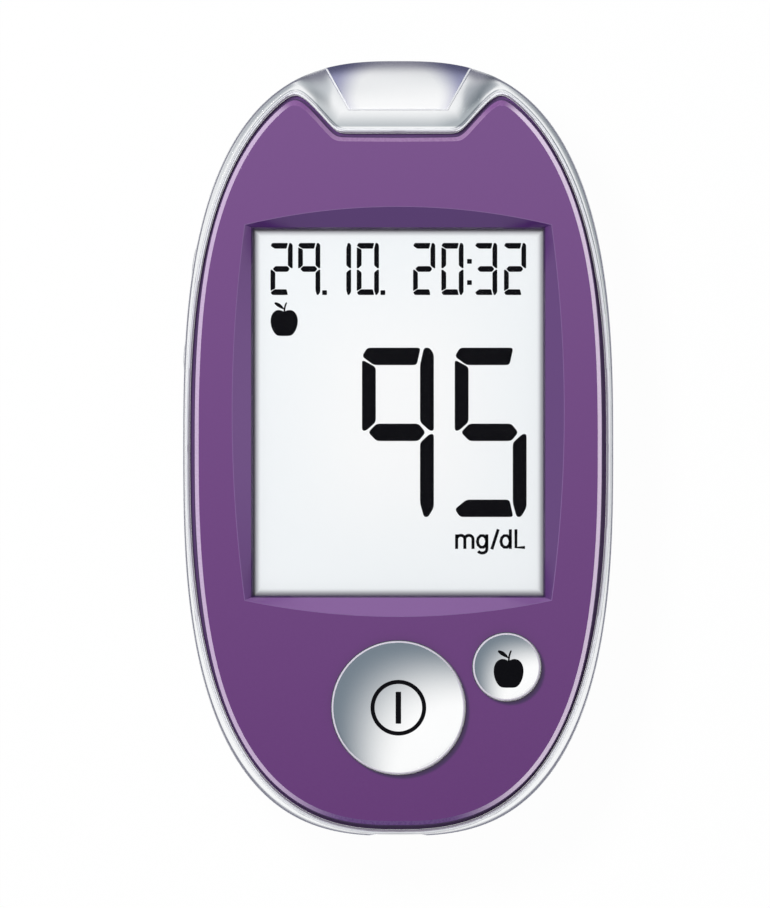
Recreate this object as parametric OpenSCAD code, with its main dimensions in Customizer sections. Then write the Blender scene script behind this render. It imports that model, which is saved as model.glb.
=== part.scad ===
// Handheld blood glucose meter, lying on its back.
// +Z points out of its face, +Y to its top end and +X to the right of its face.
// The origin is on the rest surface, below the middle of the case.

/* [Case] */
// Width of the case across its middle
case_w = 54.4; // [54:0.2:66]
// Length of the case from end to end
case_l = 98; // [96:0.5:118]
// Power of the superellipse that the outline follows
case_power = 2.77; // [2.74:0.01:2.9]
// Height of the seam between the front housing and the back cover
seam_z = 10; // [9.8:0.1:10.2]
// Wall of both shells beside the seam
side_wall = 2; // [1.8:0.1:2.1]
// Depth of the shoulder's ellipse for each mm of its width
shoulder_depth = 0.74; // [0.5:0.02:0.9]
// Share of that ellipse's half width at which the shoulder meets the wall
shoulder_turn = 0.85; // [0.7:0.01:0.95]
// Width of the rounding from the seam down to the back
back_round = 6.2; // [5:0.1:6.4]
// Floor of the back cover
back_floor = 1.8; // [1.7:0.1:2]
// Plate of the front housing that carries the panel
deck_t = 1; // [0.8:0.1:1.2]
// Tongue of the back cover, its height
tongue_h = 0.9; // [0.5:0.1:1]
// Tongue of the back cover, its thickness
tongue_t = 0.8; // [0.6:0.1:1]

/* [Front panel] */
// Width of the rim beside the panel
rim_side = 1.08; // [0.9:0.02:1.4]
// Width of the rim below the panel
rim_end = 1.03; // [0.9:0.01:1.4]
// Power of the superellipse that the panel's outline follows
panel_power = 2.6; // [2.5:0.01:2.7]
// Thickness of the panel
panel_t = 1.9; // [1.8:0.1:2.4]
// Width and height of the bevel on the panel's edge
panel_bevel = 0.6; // [0.3:0.05:0.8]
// Groove between the panel and the lip
groove_w = 0.5; // [0.3:0.02:0.6]
// Flat land on top of the lip
lip_land = 0.25; // [0.1:0.05:0.4]
// Height of the lip above the deck
lip_h = 1.4; // [1.2:0.1:1.8]
// Depth of the bay in the panel, from the top end of the case
bay_depth = 9.36; // [9:0.1:10]
// Half the width of the bay's straight edge
bay_half_w = 7.83; // [7:0.1:9]
// Angle between the bay's sides and the length of the case
bay_angle = 41.3; // [38:0.1:44]

/* [Display] */
// Width of the window
window_w = 36.7; // [30:0.1:38]
// Height of the window
window_h = 46.3; // [38:0.1:47]
// Middle of the window, from the middle of the case
window_y = 4.55; // [3:0.05:5]
// Recess past the window at its corners, sideways
recess_side = 1; // [0.6:0.1:1.4]
// Recess past the window at its corners, lengthways
recess_end = 0.55; // [0.4:0.05:0.8]
// How far the sides of the recess bulge
bulge_side = 1.6; // [0.5:0.1:2]
// How far the upper edge of the recess bulges
bulge_top = 2.3; // [0.5:0.1:3]
// How far the lower edge of the recess bulges
bulge_bottom = 2.05; // [0.5:0.05:2.5]
// Thickness of the window's edge in the panel
window_edge = 0.4; // [0.3:0.05:0.6]
// Thickness of the lens
lens_t = 0.7; // [0.5:0.05:0.8]
// Overlap of the lens behind the window's edge
lens_lap = 0.95; // [0.6:0.05:1.1]
// Thickness of the display glass
glass_t = 1.2; // [1:0.05:1.25]
// Border of the display glass past the window
glass_lap = 1.25; // [1.1:0.05:1.3]
// Ledge of the display glass that carries its contacts
glass_ledge = 2.4; // [2:0.1:2.6]
// Wall of the frame round the display glass
frame_wall = 1.1; // [0.8:0.1:1.2]
// Height of the frame, from the board to the deck
frame_h = 1.9; // [1.85:0.05:2.4]

/* [Keys] */
// Radius of the power button
power_r = 8.43; // [6:0.01:8.5]
// Middle of the power button, from the middle of the case
power_y = -32.75; // [-34:0.05:-32]
// Radius of the mark button
mark_r = 4.28; // [3.5:0.01:4.4]
// Middle of the mark button, sideways
mark_x = 13.7; // [13.6:0.05:15]
// Middle of the mark button, lengthways
mark_y = -27.6; // [-28.5:0.05:-27.5]
// Height of a button's rim above the panel
key_stand = 0.9; // [0.7:0.05:1.2]
// Depth of the dish in a button
key_dish = 0.7; // [0.4:0.05:0.8]
// Width of the flange that keeps a button in
key_flange = 0.57; // [0.4:0.01:0.6]
// Thickness of that flange
key_flange_t = 1.2; // [1:0.1:1.2]
// Running gap round a button
key_gap = 0.1; // [0.1:0.01:0.2]
// Radius of a button's plunger
plunger_r = 1.5; // [1:0.1:1.8]
// Height of a snap dome on the board
dome_h = 1; // [0.8:0.05:1.1]

/* [Side key] */
// Length of the side key
rocker_l = 20.25; // [16:0.05:20.5]
// Middle of the side key, from the middle of the case
rocker_y = 17.78; // [16.5:0.02:18]
// Thickness of the side key
rocker_t = 1.5; // [1.3:0.1:1.7]
// How far its two pads stand proud of the case
rocker_proud = 0.16; // [0.1:0.02:0.3]
// How far its waist and its tips lie below the case
rocker_dip = 0.11; // [0.05:0.01:0.2]
// Gap round the side key
rocker_gap = 0.2; // [0.18:0.01:0.25]
// Radius of the pivot pin
pin_r = 0.5; // [0.4:0.05:0.6]
// Running clearance of the pivot pin
pin_gap = 0.06; // [0.03:0.01:0.1]
// Pivot pin, in from the side of the case
pin_inset = 2.3; // [2.2:0.1:2.5]
// Switches, from the pivot
switch_pitch = 6.5; // [6:0.1:6.8]

/* [Board] */
// Thickness of the circuit board
board_t = 1; // [0.8:0.1:1]
// Gap between the board and the wall
board_gap = 0.5; // [0.4:0.1:0.6]
// Radius of the posts that the board is screwed to
post_r = 1.7; // [1.5:0.1:1.9]

/* [Batteries] */
// Diameter of a cell
battery_d = 10.5; // [10.5:0.1:11]
// Length of a cell with its nub
battery_l = 44.5; // [44:0.1:44.5]
// Diameter of the nub
nub_d = 3.8; // [3:0.1:4]
// Height of the nub
nub_h = 1; // [0.8:0.1:1.2]
// Space between the two cells
cell_space = 0.4; // [0.3:0.1:0.6]
// Gap round the cells
cell_gap = 0.25; // [0.2:0.05:0.3]
// Length of a fitted battery spring
spring_l = 2.6; // [2.2:0.1:3]
// Thickness of the contact plates
plate_t = 0.3; // [0.2:0.05:0.4]
// Walls of the battery bay
bay_wall = 1.2; // [1:0.1:1.3]
// Roof of the battery bay
bay_roof = 0.55; // [0.5:0.05:0.7]

/* [Battery door] */
// Thickness of the door
door_t = 1.6; // [1.5:0.1:1.7]
// Half the width of the door
door_half_w = 12.9; // [12.6:0.1:13]
// Running gap of the door
door_gap = 0.15; // [0.1:0.01:0.2]
// Flange of the door that runs under the rails
rail_w = 1.3; // [1:0.1:1.4]
// Thickness of that flange
rail_t = 0.8; // [0.6:0.1:0.9]
// Door past the lower end of the bay
door_lap = 5; // [4:0.5:8]

/* [Strip port] */
// Width of the slot for the test strip
strip_w = 7.2; // [6:0.1:7.4]
// Height of the slot for the test strip
strip_h = 0.9; // [0.8:0.1:1]
// How deep a strip goes in, from the bottom end
strip_depth = 15; // [14:0.5:16]
// Width of the notch in the rim at the slot
notch_w = 8.4; // [7.8:0.1:10]
// Depth of that notch
notch_d = 0.4; // [0.2:0.05:0.6]
// Width of the connector
connector_w = 11.6; // [10:0.1:12]
// Height of the connector below the board
connector_h = 2.3; // [2.2:0.1:2.6]
// Travel of the ejector
eject_travel = 5; // [4:0.5:5]
// Width of the ejector's pad
pad_w = 9; // [7:0.5:10]
// Length of the ejector's pad
pad_l = 7; // [6:0.5:7]

/* [Port cap] */
// Length of the cap, from the top end of the case
cap_len = 6.1; // [5.6:0.02:6.2]
// Half the width of the cap's inner edge
cap_half_w = 6.2; // [6.1:0.1:7]
// Angle between the cap's sides and the length of the case
cap_flare = 29; // [20:1:32]
// How far the cap stands proud of the case
cap_rise = 0.25; // [0:0.05:0.4]
// Gap round the cap
cap_gap = 0.12; // [0.08:0.01:0.2]
// Width of the jack behind the cap
jack_w = 7.7; // [7:0.1:7.8]
// Height of the jack
jack_h = 2.6; // [2.4:0.1:2.7]

/* [Fasteners] */
// Radius of a case screw's boss in the front housing
boss_r = 2.3; // [2:0.1:2.3]
// Radius of a case screw
screw_r = 1; // [0.8:0.05:1.1]
// Radius of a case screw's head
head_r = 1.9; // [1.6:0.1:1.95]
// Height of a screw's head
head_h = 1.4; // [1:0.1:1.6]

/* [Hidden] */
$fn = 64;

// Overlap that joins two shapes, gap of a fixed fit and allowance of a cut past a face
bite = 0.2;
slack = 0.1;
past = 2;

// Heights, from the rest surface upwards
cell_z = door_t + cell_gap + battery_d / 2;
bay_top = cell_z + battery_d / 2 + cell_gap;
board_lift = 0.15;
board_z = bay_top + bay_roof + board_lift;
board_top = board_z + board_t;
deck_z = board_top + frame_h;
seat_z = deck_z + deck_t;
lip_z = seat_z + lip_h;
panel_z = seat_z + panel_t;
key_z = panel_z + key_stand;
glass_z = deck_z - glass_t - slack / 2;

// Seal at the glass's upper edge and rubber strip under its contact ledge
glass_seal = 0.4;
zebra_w = 1.1;

// Outline of the case and its parts
bay_y = case_l / 2 - bay_depth;
cap_y = case_l / 2 - cap_len;
port_wall = 0.78;
cavity_y = cap_y - cap_gap - port_wall;
corner_bearing = atan(bay_half_w / bay_y);
blend_before = 3.2;
blend_after = 10.8;
bay_from = corner_bearing - blend_before;
bay_to = corner_bearing + blend_after;
bay_steps = 18;
end_steps = 2;
rim_steps = 38;
half_bearings = concat([for (i = [0:end_steps - 1]) bay_from * i / end_steps],
                       [for (i = [0:bay_steps - 1]) bay_from + (bay_to - bay_from) * i / bay_steps],
                       [for (i = [0:rim_steps]) bay_to + (180 - bay_to) * i / rim_steps]);
bearings = concat(half_bearings, [for (i = [len(half_bearings) - 2:-1:1]) 360 - half_bearings[i]]);
inner_step = 5;
inner_bearings = [for (f = [0:inner_step:360 - inner_step]) f];
corner_sharpness = 150;
apex_sharpness = 60;
shoulder_steps = 6;
back_steps = 6;

// Cells and their contacts
cell_pitch = battery_d + cell_space;
plate_half = [4.4, 4];
tail_w = 2;

// Battery bay, door and rails
bay_half_w_in = battery_d + cell_space / 2 + cell_gap;
bay_end_y = cavity_y - bite - bay_wall;
bay_start_y = bay_end_y - battery_l - spring_l - 2 * plate_t;
door_y = bay_start_y - door_lap;
// Middle of the rows of parts beside the battery bay
side_room = 5.45;
side_row_x = bay_half_w_in + bay_wall + side_room;
rail_half_w = door_half_w + rail_w;
rail_z = door_t + slack;
rail_roof_z = rail_z + rail_t + door_gap;
rail_roof_t = 1;
rail_side = 1.25;
rail_block_w = rail_half_w + door_gap + rail_side;
rail_block_lap = 1.4;
flange_w = 2.6;
hook_w = 6;
hook_l = 1.2;
hook_t = 0.6;
hook_root = 2;
grip_ribs = 5;
grip_pitch = 1.6;
grip_rib_w = 0.8;
grip_from = 6;
grip_w = 16;
grip_depth = 0.4;

// Screws
screw_inset = 4.7;
screw_bearings = [27.3, 157.8];
case_screw_spots = [for (s = [-1, 1], f = screw_bearings) case_r(f, screw_inset) * [s * sin(f), cos(f)]];
boss_z = 8;
screw_seat_z = 6;
screw_end_z = 13;
screw_hole_end = 0.5;
back_boss_r = 3.2;
board_screw_r = 0.7;
board_head_r = 1.5;
board_head_h = 0.7;
board_hole_end = 0.3;
board_spot_x = 14.6;
board_spot_y = cavity_y - 3.5;
board_low_spot = [-14, -27];
board_screw_spots = [[-board_spot_x, board_spot_y], [board_spot_x, board_spot_y], board_low_spot];

// Snap domes
power_dome_r = 3;
mark_dome_r = 2.4;

// Side key
rocker_sill = 1.2;
rocker_z0 = seam_z + rocker_sill;
rocker_z1 = deck_z - slack - slack / 2;
rocker_steps = 24;
pad_from = 0.2;
rocker_stem_w = 1.2;
pin_x = -(side_x(rocker_y) - pin_inset);
lug_r = 1.15;
lug_inner = 1.1;
lug_outer = 1.2;
lug_half_l = 1.6;
pin_end = 0.5;
nub_gap = 0.35;
nub_z0 = board_top + 0.4;
nub_z1 = board_top + 1.1;
nub_half_w = 0.5;
switch_depth = 2;
switch_half_l = 1.6;
stem_out = 0.4;
switch_h = 1.5;
switch_step = 0.3;

// Strip port and ejector
connector_inset = 3.4;
connector_tail = 4;
connector_floor = 0.7;
connector_y0 = -case_l / 2 + connector_inset;
stop_y = -case_l / 2 + strip_depth;
connector_y1 = stop_y + connector_tail;
connector_z = board_z - connector_h;
slot_z = connector_z + connector_floor;
contact_count = 4;
contact_pitch = 1.2;
contact_w = 0.5;
contact_t = 0.2;
finger_w = 1.4;
finger_t = 1.2;
finger_y = stop_y + slack;
stem_w = 3;
pad_front = 3.6;
pad_y = stop_y - pad_front;
pad_t = 0.7;
pad_ribs = 3;
pad_rib_from = 1.4;
pad_rib_w = 0.4;
pad_rib_depth = 0.3;
pad_rib_end = 1;
pad_z = 0.15;
recess_z = pad_z + pad_t + slack;
slider_z = back_floor + slack;
slider_t = 0.8;
slider_half_w = 4;
slider_lap = 0.6;
guide_w = 1;
guide_lip_t = 0.5;
guide_lip_w = 0.7;
spring_z = 5.2;
spring_r = 1.3;
spring_wire = 0.2;
eject_spring_l = 10.1;
seat_y = finger_y - eject_spring_l;
seat_half_w = 2.2;
seat_t = 1;

// Port cap and jack
cap_sill = 1;
cap_floor_z = seam_z + cap_sill;
cap_wall = 2.6;
cap_leg_x = 4.7;
cap_leg_w = 1;
cap_leg_l = 2.9;
cap_leg_lift = 0.45;
cap_leg_z = board_top + cap_leg_lift;
jack_out = 1.1;
jack_l = 5.8;
jack_y1 = cap_y + jack_out;
jack_y0 = jack_y1 - jack_l;
jack_z = board_z - slack;
jack_wall = 0.5;
jack_back = 1;
jack_room = 0.6;
jack_tab_t = 0.3;
jack_tab_w = 1;
jack_tab_l = 1.6;
jack_tongue_t = 0.6;
jack_tongue_in = 0.6;
jack_tongue_side = 1.2;

// Notch at the strip slot, in its own span of heights
notch_z0 = seam_z - 1.6;
notch_z1 = lip_z + past;

// Radius of a superellipse at a bearing counted from its long axis
function se_r(f, a, b, p) = pow(pow(abs(sin(f)) / a, p) + pow(abs(cos(f)) / b, p), -1 / p);

function case_r(f, inset = 0) = se_r(f, case_w / 2 - inset, case_l / 2 - inset, case_power);

// Half the width of the case at a place along it
function side_x(y, inset = 0) =
    (case_w / 2 - inset) * pow(1 - pow(abs(y) / (case_l / 2 - inset), case_power), 1 / case_power);

// Distance to the edge of the bay, blended where its flat edge meets its slanted side
function bay_r(f, inset) =
    let (flat = (bay_y - inset) / cos(f),
         slant = (sin(bay_angle) * bay_y - cos(bay_angle) * bay_half_w - inset) / sin(bay_angle - f),
         far = max(flat, slant))
    far * pow(pow(flat / far, corner_sharpness) + pow(slant / far, corner_sharpness),
              1 / corner_sharpness);

// Outline of the panel, moved inwards by inset, with its two rounded horns beside the bay
function panel_r(f, inset) =
    let (g = f > 180 ? 360 - f : f,
         edge = se_r(g, case_w / 2 - rim_side - inset, case_l / 2 - rim_end - inset, panel_power))
    g > bay_angle - 2 ? edge
        : edge * pow(1 + pow(edge / bay_r(g, inset), apex_sharpness), -1 / apex_sharpness);

// Inside of the walls, cut straight across behind the port cap
function cavity_r(f, inset = 0) =
    let (wall = case_r(f, side_wall + inset))
    cos(f) > 0 ? min(wall, (cavity_y - inset) / cos(f)) : wall;

function plan(radii, angles) = [for (i = [0:len(angles) - 1]) radii[i] * [-sin(angles[i]), cos(angles[i])]];

function level(points, z) = [for (p = points) [p.x, p.y, z]];

// Middle of a ring of points
function middle(ring) = [for (p = ring) 1] * ring / len(ring);

// Closed solid through rings of points that all run counterclockwise, lowest ring first
module loft(rings) {
    n = len(rings[0]);
    m = len(rings);
    walls = [for (i = [0:m - 2], j = [0:n - 1])
             let (k = (j + 1) % n, low = i * n, high = low + n)
             each [[low + j, high + j, high + k], [low + j, high + k, low + k]]];
    caps = [for (j = [0:n - 1])
            let (k = (j + 1) % n, top = (m - 1) * n)
            each [[m * n, j, k], [m * n + 1, top + k, top + j]]];
    polyhedron(concat([for (r = rings) each r], [middle(rings[0]), middle(rings[m - 1])]),
               concat(walls, caps));
}

module prism(points, z0, z1) {
    translate([0, 0, z0]) linear_extrude(z1 - z0) polygon(points);
}

// Box from its lowest to its highest corner
module block(low, high) {
    translate(low) cube(high - low);
}

module post(spot, r, z0, z1) {
    translate([spot.x, spot.y, z0]) cylinder(r = r, h = z1 - z0);
}

// Drop of the shoulder below the lip, for each mm of its width, from the lip (0) to the wall (1)
function shoulder_drop(t) = shoulder_depth * (1 - sqrt(1 - pow(shoulder_turn * t, 2)));

// Upper half of the case as one solid: a wall and a shoulder that rounds over to the lip
module upper_solid(rise) {
    loft(concat([level(plan([for (f = bearings) case_r(f)], bearings), seam_z)],
                [for (k = [0:shoulder_steps])
                 let (t = cos(90 * k / shoulder_steps))
                 [for (f = bearings)
                  let (lip_r = panel_r(f, -groove_w / 2 - lip_land), width = case_r(f) - lip_r,
                       r = lip_r + width * t)
                  [-r * sin(f), r * cos(f), lip_z + rise - width * shoulder_drop(t)]]]));
}

// Lower half of the case as one solid, rounded from the seam to the flat back
module lower_solid() {
    loft([for (k = [0:back_steps])
          let (a = 90 - 90 * k / back_steps)
          level(plan([for (f = bearings) case_r(f, back_round * (1 - cos(a)))], bearings),
                seam_z * (1 - sin(a)))]);
}

// Hollow of the back cover, from its floor past the seam
module lower_hollow() {
    steepest = asin((seam_z - back_floor) / seam_z);
    hollow_steps = 4;
    loft(concat([for (k = [0:hollow_steps])
                 let (a = steepest * (1 - k / hollow_steps), inset = side_wall + back_round * (1 - cos(a)))
                 level(plan([for (f = inner_bearings) case_r(f, inset)], inner_bearings),
                       seam_z * (1 - sin(a)))],
                [level(plan([for (f = inner_bearings) case_r(f, side_wall)], inner_bearings),
                       seam_z + past)]));
}

// Plan of the port cap, grown by gap, running out past the end of the case
module cap_plan(gap) {
    end_y = case_l / 2 + past;
    near_w = cap_half_w + gap;
    far_w = near_w + (end_y - cap_y) * tan(cap_flare);
    polygon([[-near_w, cap_y - gap], [near_w, cap_y - gap], [far_w, end_y], [-far_w, end_y]]);
}

// Shallow notch that marks the strip slot, cut through both shells
module strip_notch() {
    arc_r = (notch_w * notch_w / 4 + notch_d * notch_d) / (2 * notch_d);
    post([0, -case_l / 2 + notch_d - arc_r], arc_r, notch_z0, notch_z1, $fn = 200);
}

// Front housing

module front_housing() {
    color("gainsboro")
    difference() {
        union() {
            difference() {
                upper_solid(0);
                prism(plan([for (f = bearings) panel_r(f, -groove_w / 2)], bearings), seat_z, lip_z + past);
                prism(plan([for (f = bearings) cavity_r(f)], bearings), seam_z - past, deck_z);
            }
            for (s = case_screw_spots) post(s, boss_r, boss_z + slack / 2, deck_z + bite);
            for (s = board_screw_spots) post(s, post_r, board_top, deck_z + bite);
            rocker_lug();
        }
        window_cut(deck_z - past, seat_z + past, slack);
        post([0, power_y], power_r + key_flange + key_gap, deck_z - past, seat_z + past);
        post([mark_x, mark_y], mark_r + key_flange + key_gap, deck_z - past, seat_z + past);
        translate([0, 0, cap_floor_z]) linear_extrude(lip_z) cap_plan(cap_gap);
        jack_hole();
        rocker_window();
        post([pin_x, rocker_y], pin_r + slack / 5, seam_z + pin_end - slack, deck_z + pin_end + slack);
        for (s = case_screw_spots)
            post(s, screw_r + slack / 2, boss_z - past, screw_end_z + screw_hole_end);
        for (s = board_screw_spots)
            post(s, board_screw_r + slack / 2, board_top - past, deck_z + board_hole_end);
        block([-strip_w / 2 - bite, -case_l / 2 - past, slot_z - bite],
              [strip_w / 2 + bite, -case_l / 2 + side_wall + bite, slot_z + strip_h + bite]);
        strip_notch();
    }
}

// Lower bearing of the pivot pin, on the wall below the side key
module rocker_lug() {
    block([pin_x - lug_outer, rocker_y - lug_half_l, seam_z],
          [pin_x + lug_inner, rocker_y + lug_half_l, rocker_z0 - bite]);
}

// Opening in the side wall for the side key
module rocker_window() {
    half_l = rocker_l / 2 + rocker_gap;
    block([-case_w, rocker_y - half_l, rocker_z0 - bite],
          [-side_x(rocker_y + half_l, side_wall) + 1, rocker_y + half_l, deck_z]);
}

// Openings in the wall behind the port cap, for the jack and for the cap's legs
module jack_hole() {
    block([-jack_w / 2 - slack, cavity_y - bite, jack_z - slack],
          [jack_w / 2 + slack, cap_y + past, jack_z + jack_h + slack]);
    for (s = [0, 1]) mirror([s, 0, 0])
        block([cap_leg_x - slack, cavity_y - bite, cap_leg_z - slack],
              [cap_leg_x + cap_leg_w + slack, cap_y + past, cap_leg_z + cap_leg_w + slack]);
}

// Front panel and display

module window_cut(z0, z1, gap) {
    block([-window_w / 2 - gap, window_y - window_h / 2 - gap, z0],
          [window_w / 2 + gap, window_y + window_h / 2 + gap, z1]);
}

// One turn round the window, counterclockwise from its lower left corner
function window_turn(side, end, side_bulge, low_bulge, high_bulge, z) =
    let (n = 8, w = window_w / 2 + side, h = window_h / 2 + end)
    concat([for (i = [0:n - 1]) let (u = 2 * i / n - 1)
            [w * u, window_y - h - low_bulge * (1 - u * u), z]],
           [for (i = [0:n - 1]) let (u = 2 * i / n - 1)
            [w + side_bulge * (1 - u * u), window_y + h * u, z]],
           [for (i = [0:n - 1]) let (u = 1 - 2 * i / n)
            [w * u, window_y + h + high_bulge * (1 - u * u), z]],
           [for (i = [0:n - 1]) let (u = 1 - 2 * i / n)
            [-w - side_bulge * (1 - u * u), window_y + h * u, z]]);

module front_panel() {
    lens_z = seat_z + lens_t + slack / 2;
    color([0.45, 0.28, 0.53])
    difference() {
        loft([level(plan([for (f = bearings) panel_r(f, groove_w / 2)], bearings), seat_z),
              level(plan([for (f = bearings) panel_r(f, groove_w / 2)], bearings), panel_z - panel_bevel),
              level(plan([for (f = bearings) panel_r(f, groove_w / 2 + panel_bevel)], bearings), panel_z)]);
        loft([window_turn(0, 0, 0, 0, 0, lens_z + window_edge),
              window_turn(recess_side, recess_end, bulge_side, bulge_bottom, bulge_top, panel_z),
              window_turn(recess_side, recess_end, bulge_side, bulge_bottom, bulge_top, panel_z + past)]);
        window_cut(seat_z - past, panel_z, 0);
        window_cut(seat_z - past, lens_z, lens_lap + slack);
        post([0, power_y], power_r + key_gap, seat_z - past, panel_z + past);
        post([mark_x, mark_y], mark_r + key_gap, seat_z - past, panel_z + past);
    }
}

module display_lens() {
    color([0.92, 0.95, 0.97, 0.5]) window_cut(seat_z, seat_z + lens_t, lens_lap);
}

// Two glass plates, the upper one short of the contact ledge, with a clear pad that fills the deck's opening
module lcd_cell() {
    plate = glass_t / 2;
    half_w = window_w / 2 + glass_lap;
    low_y = window_y - window_h / 2;
    high_y = window_y + window_h / 2 + glass_lap + glass_seal;
    color([0.86, 0.88, 0.88]) {
        block([-half_w, low_y - glass_ledge, glass_z], [half_w, high_y, glass_z + plate]);
        block([-half_w, low_y - glass_lap, glass_z + plate - slack / 2],
              [half_w, high_y, glass_z + glass_t]);
        block([-window_w / 2, low_y, glass_z + glass_t - slack / 2],
              [window_w / 2, low_y + window_h, seat_z - slack / 2]);
    }
}

module lcd_reflector() {
    lap = 0.8;
    color("white")
    block([-window_w / 2 - lap, window_y - window_h / 2 - lap, board_top],
          [window_w / 2 + lap, window_y + window_h / 2 + lap + glass_seal, glass_z - slack / 2]);
}

module lcd_frame() {
    half_w = window_w / 2 + glass_lap + slack;
    low_y = window_y - window_h / 2 - glass_ledge - slack;
    high_y = window_y + window_h / 2 + glass_lap + glass_seal + slack;
    color("dimgray")
    difference() {
        block([-half_w - frame_wall, low_y - frame_wall, board_top],
              [half_w + frame_wall, high_y + frame_wall, deck_z]);
        block([-half_w, low_y, board_top - past], [half_w, high_y, deck_z + past]);
    }
}

module zebra_strip() {
    low_y = window_y - window_h / 2 - glass_ledge + slack;
    color("hotpink")
    block([-window_w / 2, low_y, board_top], [window_w / 2, low_y + zebra_w, glass_z]);
}

// Keys

// Round button with a dished top, a flange below the panel and a plunger over its dome
module dished_key(r) {
    flange_z = seat_z - key_gap - key_flange_t;
    plunger_z = board_top + dome_h + slack;
    edge = 0.25;
    edge_mid = edge * (1 - cos(45));
    dish_r = r - edge - slack / 2;
    dish_steps = 10;
    rotate_extrude($fn = 128)
        polygon(concat([[0, plunger_z], [plunger_r, plunger_z], [plunger_r, flange_z],
                        [r + key_flange, flange_z], [r + key_flange, flange_z + key_flange_t],
                        [r, flange_z + key_flange_t], [r, key_z - edge], [r - edge_mid, key_z - edge_mid],
                        [r - edge, key_z]],
                       [for (i = [dish_steps:-1:0])
                        let (u = i / dish_steps) [dish_r * u, key_z - key_dish * (1 - u * u)]]));
}

module power_button() {
    color("silver") translate([0, power_y, 0]) dished_key(power_r);
}

module mark_button() {
    color("silver") translate([mark_x, mark_y, 0]) dished_key(mark_r);
}

// Snap dome: a low cone with a crown that the plunger meets
module snap_dome(r) {
    foot = 0.2;
    shoulder = 0.1;
    crown_r = r * 0.4;
    rotate_extrude()
        polygon([[0, board_top], [r, board_top], [r, board_top + foot],
                 [crown_r + shoulder * r, board_top + dome_h - shoulder],
                 [crown_r, board_top + dome_h], [0, board_top + dome_h]]);
}

module power_dome() {
    color("lightsteelblue") translate([0, power_y, 0]) snap_dome(power_dome_r);
}

module mark_dome() {
    color("lightsteelblue") translate([mark_x, mark_y, 0]) snap_dome(mark_dome_r);
}

// Side key

// Outer edge of the side key, from its middle (0) to its tips (1): a waist, a pad and a rounded-off tip
function rocker_edge(u) =
    let (pad = max(0, abs(u) - pad_from) / (1 - pad_from))
    (rocker_proud + rocker_dip) * pow(sin(180 * pad), 2) - rocker_dip;

// Switch face at a place along the case
function switch_x(y) = -(side_x(y, side_wall) - board_gap - slack);

module side_rocker() {
    half_l = rocker_l / 2;
    low_y = rocker_y - half_l;
    high_y = rocker_y + half_l;
    color("gainsboro")
    difference() {
        union() {
            prism(concat([for (i = [0:rocker_steps])
                          let (u = 2 * i / rocker_steps - 1, y = rocker_y - half_l * u)
                          [-side_x(y) - rocker_edge(u), y]],
                         [[-side_x(low_y) + rocker_t, low_y], [-side_x(high_y) + rocker_t, high_y]]),
                  rocker_z0, rocker_z1);
            post([pin_x, rocker_y], lug_r, rocker_z0, rocker_z1);
            for (s = [-1, 1]) {
                y = rocker_y + s * switch_pitch;
                block([-side_x(y) + rocker_t / 3, y - rocker_stem_w / 2, nub_z0],
                      [switch_x(y) - stem_out - nub_gap, y + rocker_stem_w / 2, nub_z1]);
            }
        }
        post([pin_x, rocker_y], pin_r + pin_gap, rocker_z0 - past, rocker_z1 + past);
    }
}

module rocker_pin() {
    color("silver") post([pin_x, rocker_y], pin_r, seam_z + pin_end, deck_z + pin_end);
}

module side_switches() {
    switch_z = board_top + switch_h;
    color("darkslategray")
    for (s = [-1, 1]) {
        y = rocker_y + s * switch_pitch;
        x = switch_x(y);
        difference() {
            union() {
                block([x, y - switch_half_l, board_top],
                      [x + switch_depth, y + switch_half_l, switch_z]);
                block([x - stem_out, y - nub_half_w, nub_z0], [x + bite, y + nub_half_w, nub_z1]);
            }
            block([x + switch_depth - switch_step, y - switch_half_l / 2, switch_z - switch_step],
                  [x + switch_depth + past, y + switch_half_l / 2, switch_z + past]);
        }
    }
}

// Board and what sits on it

module main_board() {
    outline_steps = 48;
    outline = [for (i = [0:outline_steps - 1]) 360 * i / outline_steps];
    pivot_room = 2.2;
    color("seagreen")
    difference() {
        prism(plan([for (f = outline) cavity_r(f, board_gap)], outline), board_z, board_top);
        for (s = case_screw_spots) post(s, boss_r + bite + slack, board_z - past, board_top + past);
        for (s = board_screw_spots) post(s, board_screw_r + slack, board_z - past, board_top + past);
        block([-jack_w / 2 - slack, jack_y0 - slack, board_z - past],
              [jack_w / 2 + slack, case_l, board_top + past]);
        block([-case_w, rocker_y - pivot_room, board_z - past],
              [pin_x + lug_r + bite, rocker_y + pivot_room, board_top + past]);
    }
}

module microcontroller() {
    side = 8;
    spot = [side_row_x, 2];
    body_t = 1.4;
    legs = 8;
    leg_pitch = 0.8;
    leg_w = 0.24;
    leg_l = 0.7;
    leg_t = 0.5;
    color("dimgray")
    translate([spot.x, spot.y, 0]) {
        block([-side / 2, -side / 2, board_z - body_t], [side / 2, side / 2, board_z - slack]);
        for (a = [0:90:270], i = [0:legs - 1]) rotate(a)
            translate([0, (i - (legs - 1) / 2) * leg_pitch, 0])
                block([side / 2 - slack, -leg_w / 2, board_z - leg_t],
                      [side / 2 + leg_l, leg_w / 2, board_z]);
    }
}

// Round sounder with its port
module buzzer() {
    spot = [-side_row_x, 1];
    can_r = 4.4;
    can_h = 2.3;
    port_r = 0.8;
    color("dimgray")
    difference() {
        post(spot, can_r, board_z - can_h, board_z);
        post(spot, port_r, board_z - can_h - past, board_z - can_h / 2);
    }
}

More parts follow.
